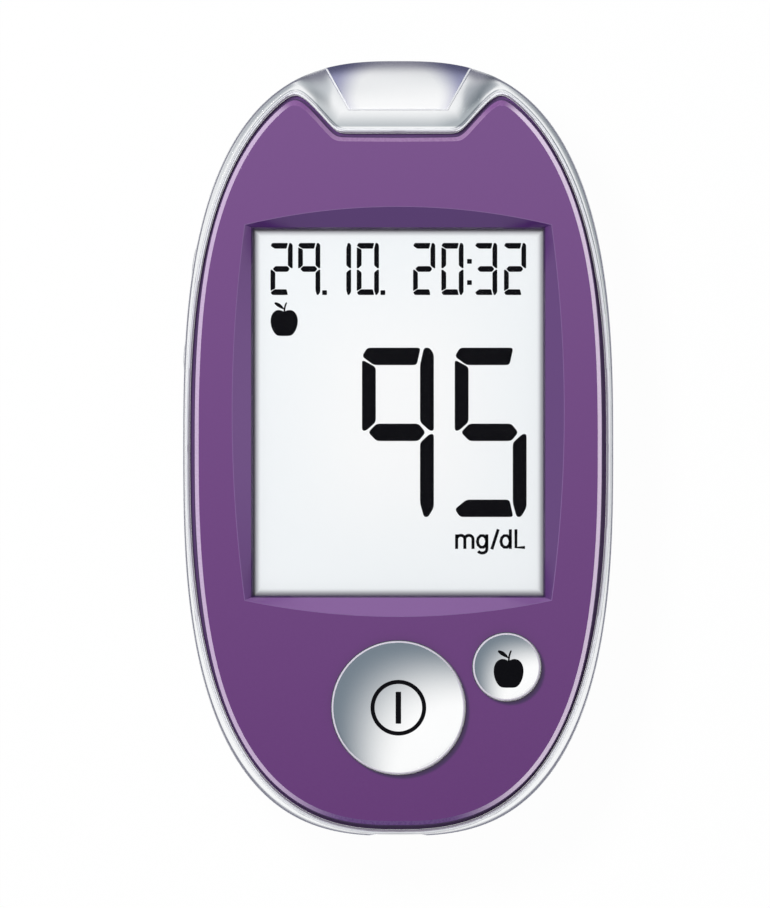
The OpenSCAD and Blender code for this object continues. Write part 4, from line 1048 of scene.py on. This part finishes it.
# rings up the rounded outside of the lower half
def lowerRings():
    rings = [caseRing(case["backRound"] + back["flatEdge"], 0)]
    for step in range(back["steps"]):
        turn = math.pi / 2 * (1 - step / back["steps"])
        rings.append(caseRing(case["backRound"] * (1 - math.cos(turn)), case["seam"] * (1 - math.sin(turn))))
    chamfer = shell["seamChamfer"]
    return rings + [caseRing(0.0, case["seam"] - chamfer), caseRing(chamfer, case["seam"])]


def keepInside(tool):
    combine(tool, [skin("inside", lowerRings())], "INTERSECT")
    return tool


# rectangle with rounded corners, grown by a margin
def roundBox(low, high, grow, corner):
    left, front, right, rear = low[0] - grow, low[1] - grow, high[0] + grow, high[1] + grow
    return rounded([(left, front), (right, front), (right, rear), (left, rear)], corner)


mouth = {"width": 0.08, "spare": 0.05, "arrowCorner": 0.15}


# tool that cuts a hollow into a face looking down, with a small chamfer round its mouth
def trough(outlineAt, face, deep, slope=0.1):
    spare = mouth["spare"]
    steps = [(face - spare, mouth["width"] + spare), (face + mouth["width"], 0.0), (face + deep, -slope)]
    return skin("trough", [[(x, y, z) for x, y in outlineAt(grow)] for z, grow in steps])


def boxTrough(spots, deep, corner, slope=0.1, face=0.0):
    return trough(lambda grow: roundBox(*spots, grow, corner), face, deep, slope)


# grip grooves one behind the other, beginning at the strip slot's end
def cutRibs(body, made, face=0.0):
    low, high = made["rib"]
    for rib in range(made["ribs"]):
        shift = rib * made["ribPitch"]
        spots = ((low[0], low[1] + shift), (high[0], high[1] + shift))
        cut(body, boxTrough(spots, made["ribDeep"], made["ribCorner"], made["ribSlope"], face))


# an arrow is grown by scaling it about its middle
def cutArrow(body, made, face=0.0):
    points = made["arrow"]
    middleY = sum(y for x, y in points) / len(points)
    widest = max(x for x, y in points)
    corner = mouth["arrowCorner"]

    def grownArrow(grow):
        share = 1 + grow / widest
        return rounded([(x * share, middleY + (y - middleY) * share) for x, y in points], corner)

    cut(body, trough(grownArrow, face, made["arrowDeep"]))


def backShell():
    rings = lowerRings() + [caseRing(back["tongueEdge"], z) for z in (case["seam"], back["ledgeLow"])]
    first, last = (math.asin(1 - z / case["seam"]) for z in (back["ledgeLow"], case["backFloor"]))
    for step in range(back["insideSteps"] + 1):
        turn = first + (last - first) * step / back["insideSteps"]
        inset = case["wall"] + case["backRound"] * (1 - math.cos(turn))
        rings.append(caseRing(inset, case["seam"] * (1 - math.sin(turn))))
    return skin("lowerShell", rings)


def tongue():
    low, high = back["tongueCut"]
    body = skin("tongue", [ringOf(lambda bearing: cavityRadius(bearing, back["tongueGap"]), z)
                           for z in back["tongue"]])
    cut(body, skin("middle", [caseRing(back["tongueEdge"], z) for z in (low, high)]))
    for spot in screwSpots():
        cut(body, post("boss", spot, back["tongueBoss"], low, high))
    cutBoxes(body, back["tongueCuts"])
    return body


def makeBack():
    body = backShell()
    weld(body, tongue())
    weld(body, keepInside(block("deck", *back["deck"])))
    weldBoxes(body, back["boxes"])
    for spot in screwSpots():
        weld(body, keepInside(post("post", spot, back["post"], back["deck"][0][2], back["postTop"])))
    cutBoxes(body, back["rooms"])
    cut(body, boxTrough(back["pocket"], back["pocketDeep"], door["corner"], 0.0))
    cut(body, boxTrough(back["thumb"], back["thumbDeep"], back["thumbCorner"]))
    cut(body, boxTrough(back["label"], back["labelDeep"], back["labelCorner"], back["labelSlope"]))
    for spot in screwSpots():
        cut(body, post("head", spot, back["head"], -1, back["headTop"], sides=64))
        cut(body, post("hole", spot, back["hole"], back["holeLow"], back["holeHigh"], sides=32))
    cut(body, notchTool())
    return settle(body, backSilver, "case", ["back_cover"])


# plate with rounded corners in layers, given as (height, inset)
def layered(name, plan, corner, layers):
    return skin(name, [[(x, y, z) for x, y in roundBox(*plan, -inset, corner)] for z, inset in layers])


def makeDoor():
    body = layered("batteryDoor", door["plate"], door["corner"], door["layers"])
    weldBoxes(body, door["boxes"])
    keepInside(body)
    weldBoxes(body, door["hook"])
    cutRibs(body, door)
    cutArrow(body, door)
    return settle(body, backSilver, "door", ["battery_door"])


slider = {"pad": ((-4.5, -37.6), (4.5, -30.6)), "corner": 0.9, "ribs": 3,
          "rib": ((-3.5, -36.2), (3.5, -35.8)), "ribPitch": 1.6, "ribDeep": 0.3, "ribCorner": 0.15,
          "ribSlope": 0.05, "arrow": [(0, -32.4), (1.1, -31.3), (-1.1, -31.3)], "arrowDeep": 0.15,
          "layers": [(0.15, 0.3), (0.19, 0.14), (0.28, 0.04), (0.4, 0), (0.85, 0)],
          "boxes": [((-1.5, -33.9, 0.65), (1.5, -32.7, 10.7)), ((-4, -38.2, 1.9), (4, -30, 2.7)),
                    ((-0.7, -33.9, 10.5), (0.7, -32.7, 12.4))]}


def makeSlider():
    body = layered("ejector", slider["pad"], slider["corner"], slider["layers"])
    weldBoxes(body, slider["boxes"])
    face = slider["layers"][0][0]
    cutRibs(body, slider, face)
    cutArrow(body, slider, face)
    return settle(body, sliderGrey, "ejector", ["ejector_slider"])


# the two cells; "from" is the place of the flat end and "ahead" the way the nub points
# outline as (radius, distance from the flat end)
cell = {"x": 5.45, "z": 7.1, "sides": 96,
        "outline": [(0.02, 0.12), (3.4, 0.12), (3.5, 0.0), (4.6, 0.0), (4.85, 0.12), (4.95, 0.42),
                    (5.14, 0.5), (5.22, 0.62), (5.25, 0.8), (5.25, 42.9), (5.2, 43.1), (5.05, 43.25),
                    (4.95, 43.25), (4.85, 43.42), (4.7, 43.5), (4.4, 43.42), (4.3, 43.1), (2.3, 43.1),
                    (2.1, 43.2), (1.9, 43.4), (1.9, 44.2), (1.82, 44.38), (1.65, 44.48), (0.02, 44.5)],
        "sleeveFrom": 0.6, "sleeveTo": 43.3, "sleeveInside": 5.0, "washer": (2.2, 4.35), "washerFrom": 43,
        "left": {"side": -1, "from": -4.2, "ahead": 1}, "right": {"side": 1, "from": 37.7, "ahead": -1}}


def makeCells():
    for key in ("left", "right"):
        side, start, ahead = (cell[key][name] for name in ("side", "from", "ahead"))
        middle = side * cell["x"]
        body = skin(key + "Cell", [[(middle + r * u, start + ahead * along, cell["z"] + r * v)
                                    for u, v in circle(cell["sides"])] for r, along in cell["outline"]])
        settle(body, [sleeves[key], nickel, cellWasher], "case", ["battery_" + key], 40)
        for facet, x, y, z in facetsOf(body):
            along = (y - start) * ahead
            reach = math.hypot(x - middle, z - cell["z"])
            onSleeve = reach > cell["sleeveInside"] and cell["sleeveFrom"] < along < cell["sleeveTo"]
            onWasher = cell["washer"][0] < reach < cell["washer"][1] and along > cell["washerFrom"]
            facet.material_index = 0 if onSleeve else 2 if onWasher else 1


# place, length and turns of every coil; foot and tip are its radii where it starts and ends
coils = {"left": {"x": -5.45, "z": 7.1, "start": -6.8, "length": 2.6, "foot": 3.6, "tip": 2.2, "turns": 3,
                  "wire": 0.3},
         "right": {"x": 5.45, "z": 7.1, "start": 40.3, "length": -2.6, "foot": 3.6, "tip": 2.2, "turns": 3,
                   "wire": 0.3},
         "ejector": {"x": 0.0, "z": 5.2, "start": -44.0, "length": 10.1, "foot": 1.3, "tip": 1.3, "turns": 10,
                     "wire": 0.2},
         "perTurn": 32, "sides": 10, "stroke": 5.0}


def coil(key):
    made = coils[key]
    wire = made["wire"]
    ahead = math.copysign(1, made["length"])
    steps = coils["perTurn"] * made["turns"]
    rings = []
    for step in range(steps + 1):
        turn = 2 * math.pi * step / coils["perTurn"]
        share = step / steps
        middle = made["foot"] + (made["tip"] - made["foot"]) * share
        along = wire + (abs(made["length"]) - 2 * wire) * share
        ring = []
        for u, v in circle(coils["sides"]):
            reach = middle + wire * u
            y = made["start"] + ahead * (along - wire * v)
            ring.append((made["x"] + reach * math.cos(turn), y, made["z"] + reach * math.sin(turn)))
        rings.append(ring)
    return skin(key + "Coil", rings)


def makeSprings():
    springs = joined("cellSprings", [coil("left"), coil("right")])
    ejector = coil("ejector")
    for piece, node in ((springs, "battery_springs"), (ejector, "ejector_spring")):
        settle(piece, springSteel, "case", [node], 50)
    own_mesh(ejector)


domes = {"power": {"radius": 3.0, "node": "power_dome", "joint": "power_press"},
         "mark": {"radius": 2.4, "node": "mark_dome", "joint": "mark_press"},
         "rise": 1.0, "thick": 0.12, "rim": 0.12, "travel": 0.5, "steps": 10, "sides": 64, "axis": 0.02}


# one side of a dome as (radius, height), from the axis to the rim
def domeCurve(radius, rise):
    low = level["boardTop"]
    shares = [step / domes["steps"] for step in range(domes["steps"] + 1)]
    return [(max(radius * share, domes["axis"]), low + rise * (1 - share ** 2)) for share in shares]


def makeDomes():
    for key in keyNames:
        made = domes[key]
        inner = domeCurve(made["radius"] - domes["rim"], domes["rise"] - domes["thick"])
        outer = domeCurve(made["radius"], domes["rise"])
        dome = turned(key + "Snap", keys[key]["spot"], inner + outer[::-1], domes["sides"])
        settle(dome, springSteel, "case", [made["node"]], 50)
        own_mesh(dome)


sparkle = {"flake": 0.09, "cloud": 6.0, "dark": 0.95, "light": 1.03, "peel": 0.5, "peelDepth": 0.002,
           "metallic": 0.92, "flakeRough": 0.05, "cloudRough": 0.06}


# metal paint: fine flakes over wide clouds; a painted-light mask turns part of it to another tone, as painted
# shade and painted reflection
def silverFinish(name, base, roughness, grain, paintedLight=None, tone=None):
    material, tree = newFinish(name)
    flakes = tree.cloud(sparkle["flake"], 3.0)
    clouds = tree.cloud(sparkle["cloud"], 2.0)
    dark, light = ([min(part * sparkle[side], 1) for part in base] for side in ("dark", "light"))
    shade = tree.blend(flakes * 0.5 + clouds * 0.5, dark, light)
    if paintedLight:
        shade = tree.blend(paintedLight(tree), shade, tone)
    orangePeel = tree.bump(tree.cloud(sparkle["peel"], 1.0), sparkle["peelDepth"])
    normal = tree.bump(flakes, grain, after=orangePeel)
    rough = roughness - 0.05 + clouds * sparkle["cloudRough"] + flakes * sparkle["flakeRough"]
    tree.coat(shade, rough, {"Metallic": sparkle["metallic"], "Normal": normal})
    return material


# painted reflection: the cap's silver is painted violet towards its outer corners
capPaintedReflection = {"middle": (0.0, 44.6), "reach": (6.2, 4.7), "from": 0.80, "to": 1.4, "tone": (0.36, 0.365, 0.55)}


def paintedCornerReflection(tree):
    parts = []
    for direction, middle, reach in zip(((1, 0, 0), (0, 1, 0)), capPaintedReflection["middle"], capPaintedReflection["reach"]):
        part = (tree.along(direction) - middle) * (1 / reach)
        parts.append(part * part)
    return tree.fade(tree.maths("SQRT", parts[0] + parts[1]), capPaintedReflection["from"], capPaintedReflection["to"])


# painted shade: the shell's silver is painted deeper round the foot of the bay, most of all on its right
# slope
bayPaintedShade = {"foot": 40.3, "corner": 8.3, "lean": (0.77, 0.64), "far": 2.6, "near": 0.2, "share": 0.85,
           "right": (4.0, 9.0, 0.5), "rightFar": 3.2, "rightNear": 1.2, "beadFrom": 0.25, "beadTo": 0.5,
           "hornFrom": (2.6, 5.4), "hornSoft": 1.3, "tone": (0.40, 0.435, 0.46)}


def bayShade(tree):
    wide = tree.along((1, 0, 0))
    high = tree.along((0, 1, 0)) - bayPaintedShade["foot"]
    across, up = bayPaintedShade["lean"]
    slopeReach = (bayPaintedShade["corner"] - tree.maths("ABSOLUTE", wide)) * across + high * up
    reach = tree.maths("MINIMUM", high, slopeReach)
    soft = tree.fade(high, *bayPaintedShade["hornFrom"]) * bayPaintedShade["hornSoft"] + bayPaintedShade["beadTo"]
    inside = tree.fade(reach, bayPaintedShade["beadFrom"], soft)
    start, end, most = bayPaintedShade["right"]
    shade = tree.fade(reach, bayPaintedShade["far"], bayPaintedShade["near"]) * bayPaintedShade["share"]
    extra = tree.fade(wide, start, end) * tree.fade(reach, bayPaintedShade["rightFar"], bayPaintedShade["rightNear"]) * most
    return inside * tree.maths("MINIMUM", shade + extra, 1.0)


# painted shade: the dishes of the keys are painted deeper in tone towards the upper left
dishPaintedShade = {"from": -0.95, "to": 0.45, "spread": 0.58, "towards": (0.707, -0.707), "tone": (0.17, 0.21, 0.25)}


def dishPaintedShadeOf(key):
    x, y = keys[key]["spot"]
    right, up = dishPaintedShade["towards"]

    def share(tree):
        inward = 1 / keys[key]["radius"]
        place = (tree.along((right, up, 0)) - (x * right + y * up)) * inward
        aside = (tree.along((-up, right, 0)) - (-x * up + y * right)) * inward
        return 1.0 - tree.fade(place - aside * aside * dishPaintedShade["spread"], dishPaintedShade["from"], dishPaintedShade["to"])

    return share


# painted shadow: the panel is painted darker right beside each key, at its lower right, where the key's
# shadow falls
keyShade = {"shift": 0.48, "from": 0.28, "to": -0.12}


def paintedKeyShadows(tree):
    shares = []
    for key in keyNames:
        x, y = keys[key]["spot"]
        across = tree.along((1, 0, 0)) - x - keyShade["shift"]
        up = tree.along((0, 1, 0)) - y + keyShade["shift"]
        away = tree.maths("SQRT", across * across + up * up)
        shares.append(tree.fade(away - keys[key]["radius"], keyShade["from"], keyShade["to"]))
    return shares[0] + shares[1]


gloss = {"fine": 0.35, "share": 0.05, "light": 1.4, "ripple": 0.9, "rippleDepth": 0.002, "rough": 0.05,
         "span": 49, "paintedKeyShadowTone": (0.032, 0.004, 0.072)}


def finishGloss(tree, shade, light, roughness):
    fine = tree.cloud(gloss["fine"], 2.0)
    shade = tree.blend(fine * gloss["share"], shade, [min(part * gloss["light"], 1) for part in light])
    ripple = tree.bump(tree.cloud(gloss["ripple"], 1.0), gloss["rippleDepth"])
    tree.coat(shade, roughness + fine * gloss["rough"], {"Normal": ripple, "IOR": 1.49})


# glossy plastic; its colour runs from the first to the second along a direction, and a painted-light mask can
# turn part of it to the painted key shadow tone
def glossFinish(name, colours, roughness=0.14, along=(0, 1, 0), span=gloss["span"], paintedLight=None):
    material, tree = newFinish(name)
    shade = tree.blend(tree.fade(tree.along(along), -span, span, smooth=False), *colours)
    if paintedLight:
        shade = tree.blend(paintedLight(tree), shade, gloss["paintedKeyShadowTone"])
    finishGloss(tree, shade, colours[1], roughness)
    return material


# the panel's bevel, with painted highlight and shade: a painted highlight along both sides, brighter on the
# right, and painted deeper at the bay, the horns and the foot; each fade is a pair of places along the meter,
# and the painted highlight fades in with how far the bevel leans out
bevel = {"left": (0.62, 0.47, 0.68), "right": (0.93, 0.76, 0.97), "bay": (0.36, 0.20, 0.41),
         "horn": (0.235, 0.09, 0.30), "foot": (0.14, 0.06, 0.24), "lean": (0.10, 0.48),
         "footFade": (-44, 36), "bayFade": (41.3, 43.4), "hornFade": (42.0, 44.3), "halves": (-5, 5),
         "flip": (-1, 1), "rough": 0.25}


def bevelFinish(name):
    material, tree = newFinish(name)
    high = tree.along((0, 1, 0))
    shade = tree.blend(tree.fade(high, *bevel["footFade"]), bevel["foot"], bevel["bay"])
    shade = tree.blend(tree.fade(high, *bevel["bayFade"]), shade, bevel["horn"])
    across = tree.dot(tree.add("TexCoord", out="Normal"), (1, 0, 0))
    wide = tree.along((1, 0, 0))
    side = tree.blend(tree.fade(wide, *bevel["halves"]), bevel["left"], bevel["right"])
    outward = across * (2.0 * tree.fade(wide, *bevel["flip"]) - 1.0)
    light = tree.fade(outward, *bevel["lean"]) * (1.0 - tree.fade(high, *bevel["hornFade"]))
    finishGloss(tree, tree.blend(light, shade, side), bevel["left"], bevel["rough"])
    return material


# display glass with painted shade: brightest in the middle and greyer towards the edge of the window, with a
# painted shadow along the window's edge, wider on the left
displayPaintedShade = {"middle": (0.995, 1.0, 1.0), "outer": (0.93, 0.96, 0.975), "edge": (0.21, 0.20, 0.24),
             "shade": (-0.05, 0.95), "shift": 0.08, "deep": 0.42, "fine": (0.8, 0.82, 0.84)}


def displayFinish(name):
    material, tree = newFinish(name)
    across = window["width"] / 2 - tree.maths("ABSOLUTE", tree.along((1, 0, 0)) - displayPaintedShade["shift"])
    along = window["height"] / 2 - tree.maths("ABSOLUTE", tree.along((0, 1, 0)) - window["y"])
    near = tree.maths("MINIMUM", across, along)
    deep = [tree.fade(across, 0, window["width"] * displayPaintedShade["deep"]),
            tree.fade(along, 0, window["height"] * displayPaintedShade["deep"])]
    shade = tree.blend(deep[0] * deep[1], displayPaintedShade["outer"], displayPaintedShade["middle"])
    shade = tree.blend(tree.fade(near, *displayPaintedShade["shade"]), displayPaintedShade["edge"], shade)
    fine = tree.cloud(0.2, 2.0)
    shade = tree.blend(fine * 0.02, shade, displayPaintedShade["fine"])
    tree.coat(shade, 0.4 + fine * 0.05, {"Specular IOR Level": 0.1, "Normal": tree.bump(fine, 0.0005)})
    return material


def plainFinish(name, base, roughness=0.5, metallic=0.0, size=0.3, depth=0.01, spread=0.10):
    material, tree = newFinish(name)
    fine = tree.cloud(size, 3.0)
    wide = tree.cloud(size * 12, 2.0)
    dark, light = ([min(part * share, 1) for part in base] for share in (1 - spread, 1 + spread))
    shade = tree.blend(fine * 0.6 + wide * 0.4, dark, light)
    rough = roughness - 0.05 + fine * 0.1
    tree.coat(shade, rough, {"Metallic": metallic, "Normal": tree.bump(fine, depth)})
    return material


inkTone = {"dark": (0.003, 0.003, 0.004), "light": (0.008, 0.008, 0.010)}


def inkFinish(name):
    material, tree = newFinish(name)
    fine = tree.cloud(0.15, 2.0)
    shade = tree.blend(fine, inkTone["dark"], inkTone["light"])
    tree.coat(shade, 0.45 + fine * 0.1, {"Specular IOR Level": 0.0})
    return material


# clear at a right angle, with more gloss the flatter it is looked along
def clearFinish(name):
    material, tree = newFinish(name)
    dust = tree.cloud(0.8, 4.0)
    facing = tree.add("LayerWeight", {}, {"Blend": 0.5}, "Facing")
    alpha = 0.008 + dust * 0.008 + facing * facing * 0.3
    tree.coat((0.02, 0.02, 0.025, 1), 0.03 + dust * 0.05, {"IOR": 1.49, "Alpha": alpha})
    return material


# drawn or rolled metal: fine streaks along one direction
def metalFinish(name, base, roughness):
    material, tree = newFinish(name)
    streaks = tree.cloud(0.4, 3.0, stretch=(6, 1, 1))
    stain = tree.cloud(3.0, 2.0)
    shade = tree.blend(streaks * 0.5 + stain * 0.5, [part * 0.86 for part in base], base)
    rough = roughness - 0.06 + streaks * 0.12
    tree.coat(shade, rough, {"Metallic": 0.95, "Normal": tree.bump(streaks, 0.002)})
    return material


# solder mask over a grid of tracks
boardTone = {"mask": (0.010, 0.085, 0.035), "track": (0.025, 0.17, 0.07), "pitch": 2.6}


def boardFinish(name):
    material, tree = newFinish(name)
    sockets = {"Vector": tree.place(), "Scale": 1 / (boardTone["pitch"] * mm), "Mortar Size": 0.06,
               "Mortar Smooth": 0.1}
    tracks = tree.add("TexBrick", {"offset": 0.37}, sockets, "Fac")
    weave = tree.cloud(0.25, 3.0)
    shade = tree.blend(tracks, boardTone["mask"], boardTone["track"])
    shade = tree.blend(weave * 0.25, shade, boardTone["track"])
    height = tree.bump(tracks, 0.02, after=tree.bump(weave, 0.004))
    tree.coat(shade, 0.28 + weave * 0.1, {"Normal": height})
    return material


# rubber with conducting layers across it
zebraTone = {"rubber": (0.012, 0.012, 0.014), "layer": (0.45, 0.42, 0.40), "scale": 900.0}


def zebraFinish(name):
    material, tree = newFinish(name)
    sockets = {"Vector": tree.place(), "Scale": zebraTone["scale"]}
    layers = tree.add("TexWave", {"bands_direction": "X"}, sockets, "Fac")
    fine = tree.cloud(0.2, 3.0)
    shade = tree.blend(layers * 0.8 + fine * 0.2, zebraTone["rubber"], zebraTone["layer"])
    tree.coat(shade, 0.5 + fine * 0.1, {"Normal": tree.bump(fine, 0.004)})
    return material


# printed sleeve of a cell: two tones, a ring between them and a sign at each end
sleeveTone = {"body": (0.022, 0.040, 0.075), "band": (0.55, 0.57, 0.60), "line": (0.80, 0.42, 0.06),
              "print": (0.85, 0.86, 0.88), "bandFrom": 33.0, "lineWide": 0.8, "plusAt": 38.5, "minusAt": 5.0,
              "arm": 1.3, "stroke": 0.32}


def sleeveFinish(key):
    material, tree = newFinish(key + "Sleeve")
    side, start, ahead = (cell[key][name] for name in ("side", "from", "ahead"))
    along = (tree.along((0, 1, 0)) - start) * ahead
    aside = tree.maths("ABSOLUTE", tree.along((1, 0, 0)) - side * cell["x"])

    def near(name):
        return tree.maths("ABSOLUTE", along - sleeveTone[name])

    arm, stroke = sleeveTone["arm"], sleeveTone["stroke"]
    plus = near("plusAt")
    minus = (near("minusAt") < stroke) * (aside < arm)
    darkSign = (plus < stroke) * (aside < arm) + (plus < arm) * (aside < stroke)
    shade = tree.blend(along > sleeveTone["bandFrom"], sleeveTone["body"], sleeveTone["band"])
    shade = tree.blend(near("bandFrom") < sleeveTone["lineWide"], shade, sleeveTone["line"])
    shade = tree.blend(minus, shade, sleeveTone["print"])
    shade = tree.blend(darkSign, shade, sleeveTone["body"])
    fine = tree.cloud(0.5, 3.0)
    shade = tree.blend(fine * 0.08, shade, sleeveTone["band"])
    tree.coat(shade, 0.24 + fine * 0.1, {"Metallic": 0.3, "Normal": tree.bump(fine, 0.004)})
    return material


silver = silverFinish("silverShell", (0.90, 0.91, 0.92), 0.24, 0.003, bayShade, bayPaintedShade["tone"])
# painted shade: a dark silver on the ledge beside the groove
paintedShadeLedge = silverFinish("silverLedgePaintedShade", (0.30, 0.27, 0.34), 0.30, 0.003)
# painted highlight: a pale plastic on the shell's bead and the cap's bevel stands in for the light they catch
paintedBeadHighlight = glossFinish("paintedBeadHighlight", ((0.80, 0.81, 0.84), (0.84, 0.85, 0.88)), 0.22)
# painted highlight: a pale lilac plastic on the keys' rims
paintedKeyRimHighlight = glossFinish("paintedKeyRimHighlight", ((0.70, 0.66, 0.75), (0.74, 0.70, 0.79)), 0.25)
# painted shade: a darker silver on the steep sides of the shell
paintedShadeSide = silverFinish("silverSidePaintedShade", (0.70, 0.71, 0.735), 0.30, 0.005)
capSilver = silverFinish("silverCap", (0.97, 0.975, 0.98), 0.24, 0.003, paintedCornerReflection, capPaintedReflection["tone"])
keySilvers = {}
for key in keyNames:
    paintedLight = dishPaintedShadeOf(key)
    keySilvers[key] = silverFinish(key + "Silver", (0.95, 0.955, 0.955), 0.20, 0.002, paintedLight, dishPaintedShade["tone"])
backSilver = silverFinish("silverBack", (0.66, 0.67, 0.69), 0.38, 0.010)
# painted shade: the panel's purple is painted darker towards the bottom
purples = [glossFinish("purplePanel", ((0.095, 0.009, 0.145), (0.160, 0.057, 0.225)), paintedLight=paintedKeyShadows),
           bevelFinish("purpleBevel"),
           # painted light and shade on the recess: the top facet painted dark, the side facets lighter on the
           # left than on the right, the foot painted light
           glossFinish("recessTop", ((0.058, 0.013, 0.116), (0.062, 0.015, 0.123)), 0.2),
           glossFinish("recessSide", ((0.142, 0.061, 0.213), (0.100, 0.034, 0.165)), 0.2, (1, 0, 0), 15),
           glossFinish("recessFoot", ((0.222, 0.102, 0.303), (0.21, 0.094, 0.290)), 0.2),
           # painted highlight along the top edge of the recess
           glossFinish("recessLine", ((0.22, 0.11, 0.31), (0.17, 0.08, 0.24)), 0.2),
           # painted shade: the slanted window edge is painted dark purple
           glossFinish("windowEdge", ((0.05, 0.022, 0.09), (0.04, 0.016, 0.07)), 0.3),
           glossFinish("grooveFoot", ((0.10, 0.042, 0.165), (0.13, 0.058, 0.205)), 0.4),
           # painted shade on the lower part of the bevel, down by the groove
           glossFinish("bevelFoot", ((0.06, 0.03, 0.10), (0.08, 0.04, 0.125)), 0.3)]
clear = clearFinish("clearLens")
lcdInk = inkFinish("lcdInk")
keyInk = inkFinish("keyInk")
lcdGlass = displayFinish("lcdGlass")
sliderGrey = plainFinish("sliderGrey", (0.16, 0.165, 0.18), 0.45, size=0.2, depth=0.006)
springSteel = metalFinish("springSteel", (0.60, 0.61, 0.63), 0.28)
nickel = metalFinish("nickel", (0.72, 0.71, 0.68), 0.22)
cellWasher = plainFinish("cellWasher", (0.03, 0.03, 0.032), 0.5)
sleeves = {key: sleeveFinish(key) for key in ("left", "right")}
darkPlastic = plainFinish("darkPlastic", (0.030, 0.030, 0.034), 0.48)
epoxy = plainFinish("epoxy", (0.022, 0.022, 0.024), 0.55, size=0.15)
# finishes of the pieces that keep their CAD shape
finishOf = {"lcd_cell": lcdGlass, "lcd_frame": darkPlastic, "side_switches": darkPlastic,
            "lcd_reflector": plainFinish("reflector", (0.82, 0.83, 0.85), 0.3, 0.2, 0.8, 0.004, 0.04),
            "zebra_strip": zebraFinish("zebraRubber"), "main_board": boardFinish("solderMask"),
            "microcontroller": epoxy, "buzzer": epoxy, "board_parts": epoxy,
            "board_screws": nickel, "rocker_pin": nickel, "battery_plates": nickel, "case_screws": nickel,
            "data_port": metalFinish("portSteel", (0.66, 0.67, 0.69), 0.30),
            "strip_connector": plainFinish("ivory", (0.62, 0.56, 0.42), 0.42),
            "strip_contacts": metalFinish("goldPlate", (0.88, 0.62, 0.22), 0.24)}
for node, finish in finishOf.items():
    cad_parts[node].data.materials.clear()
    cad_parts[node].data.materials.append(finish)
stages = {"upper shell": [makeShell], "panel and display": [makePanel, makeLens, makeDisplay],
          "keys and cap": [makeKeys, makeCap, makeRocker], "back": [makeBack, makeDoor, makeSlider],
          "cells, springs and domes": [makeCells, makeSprings, makeDomes]}
for stageName, makers in stages.items():
    for make in makers:
        make()
    print("made:", stageName)
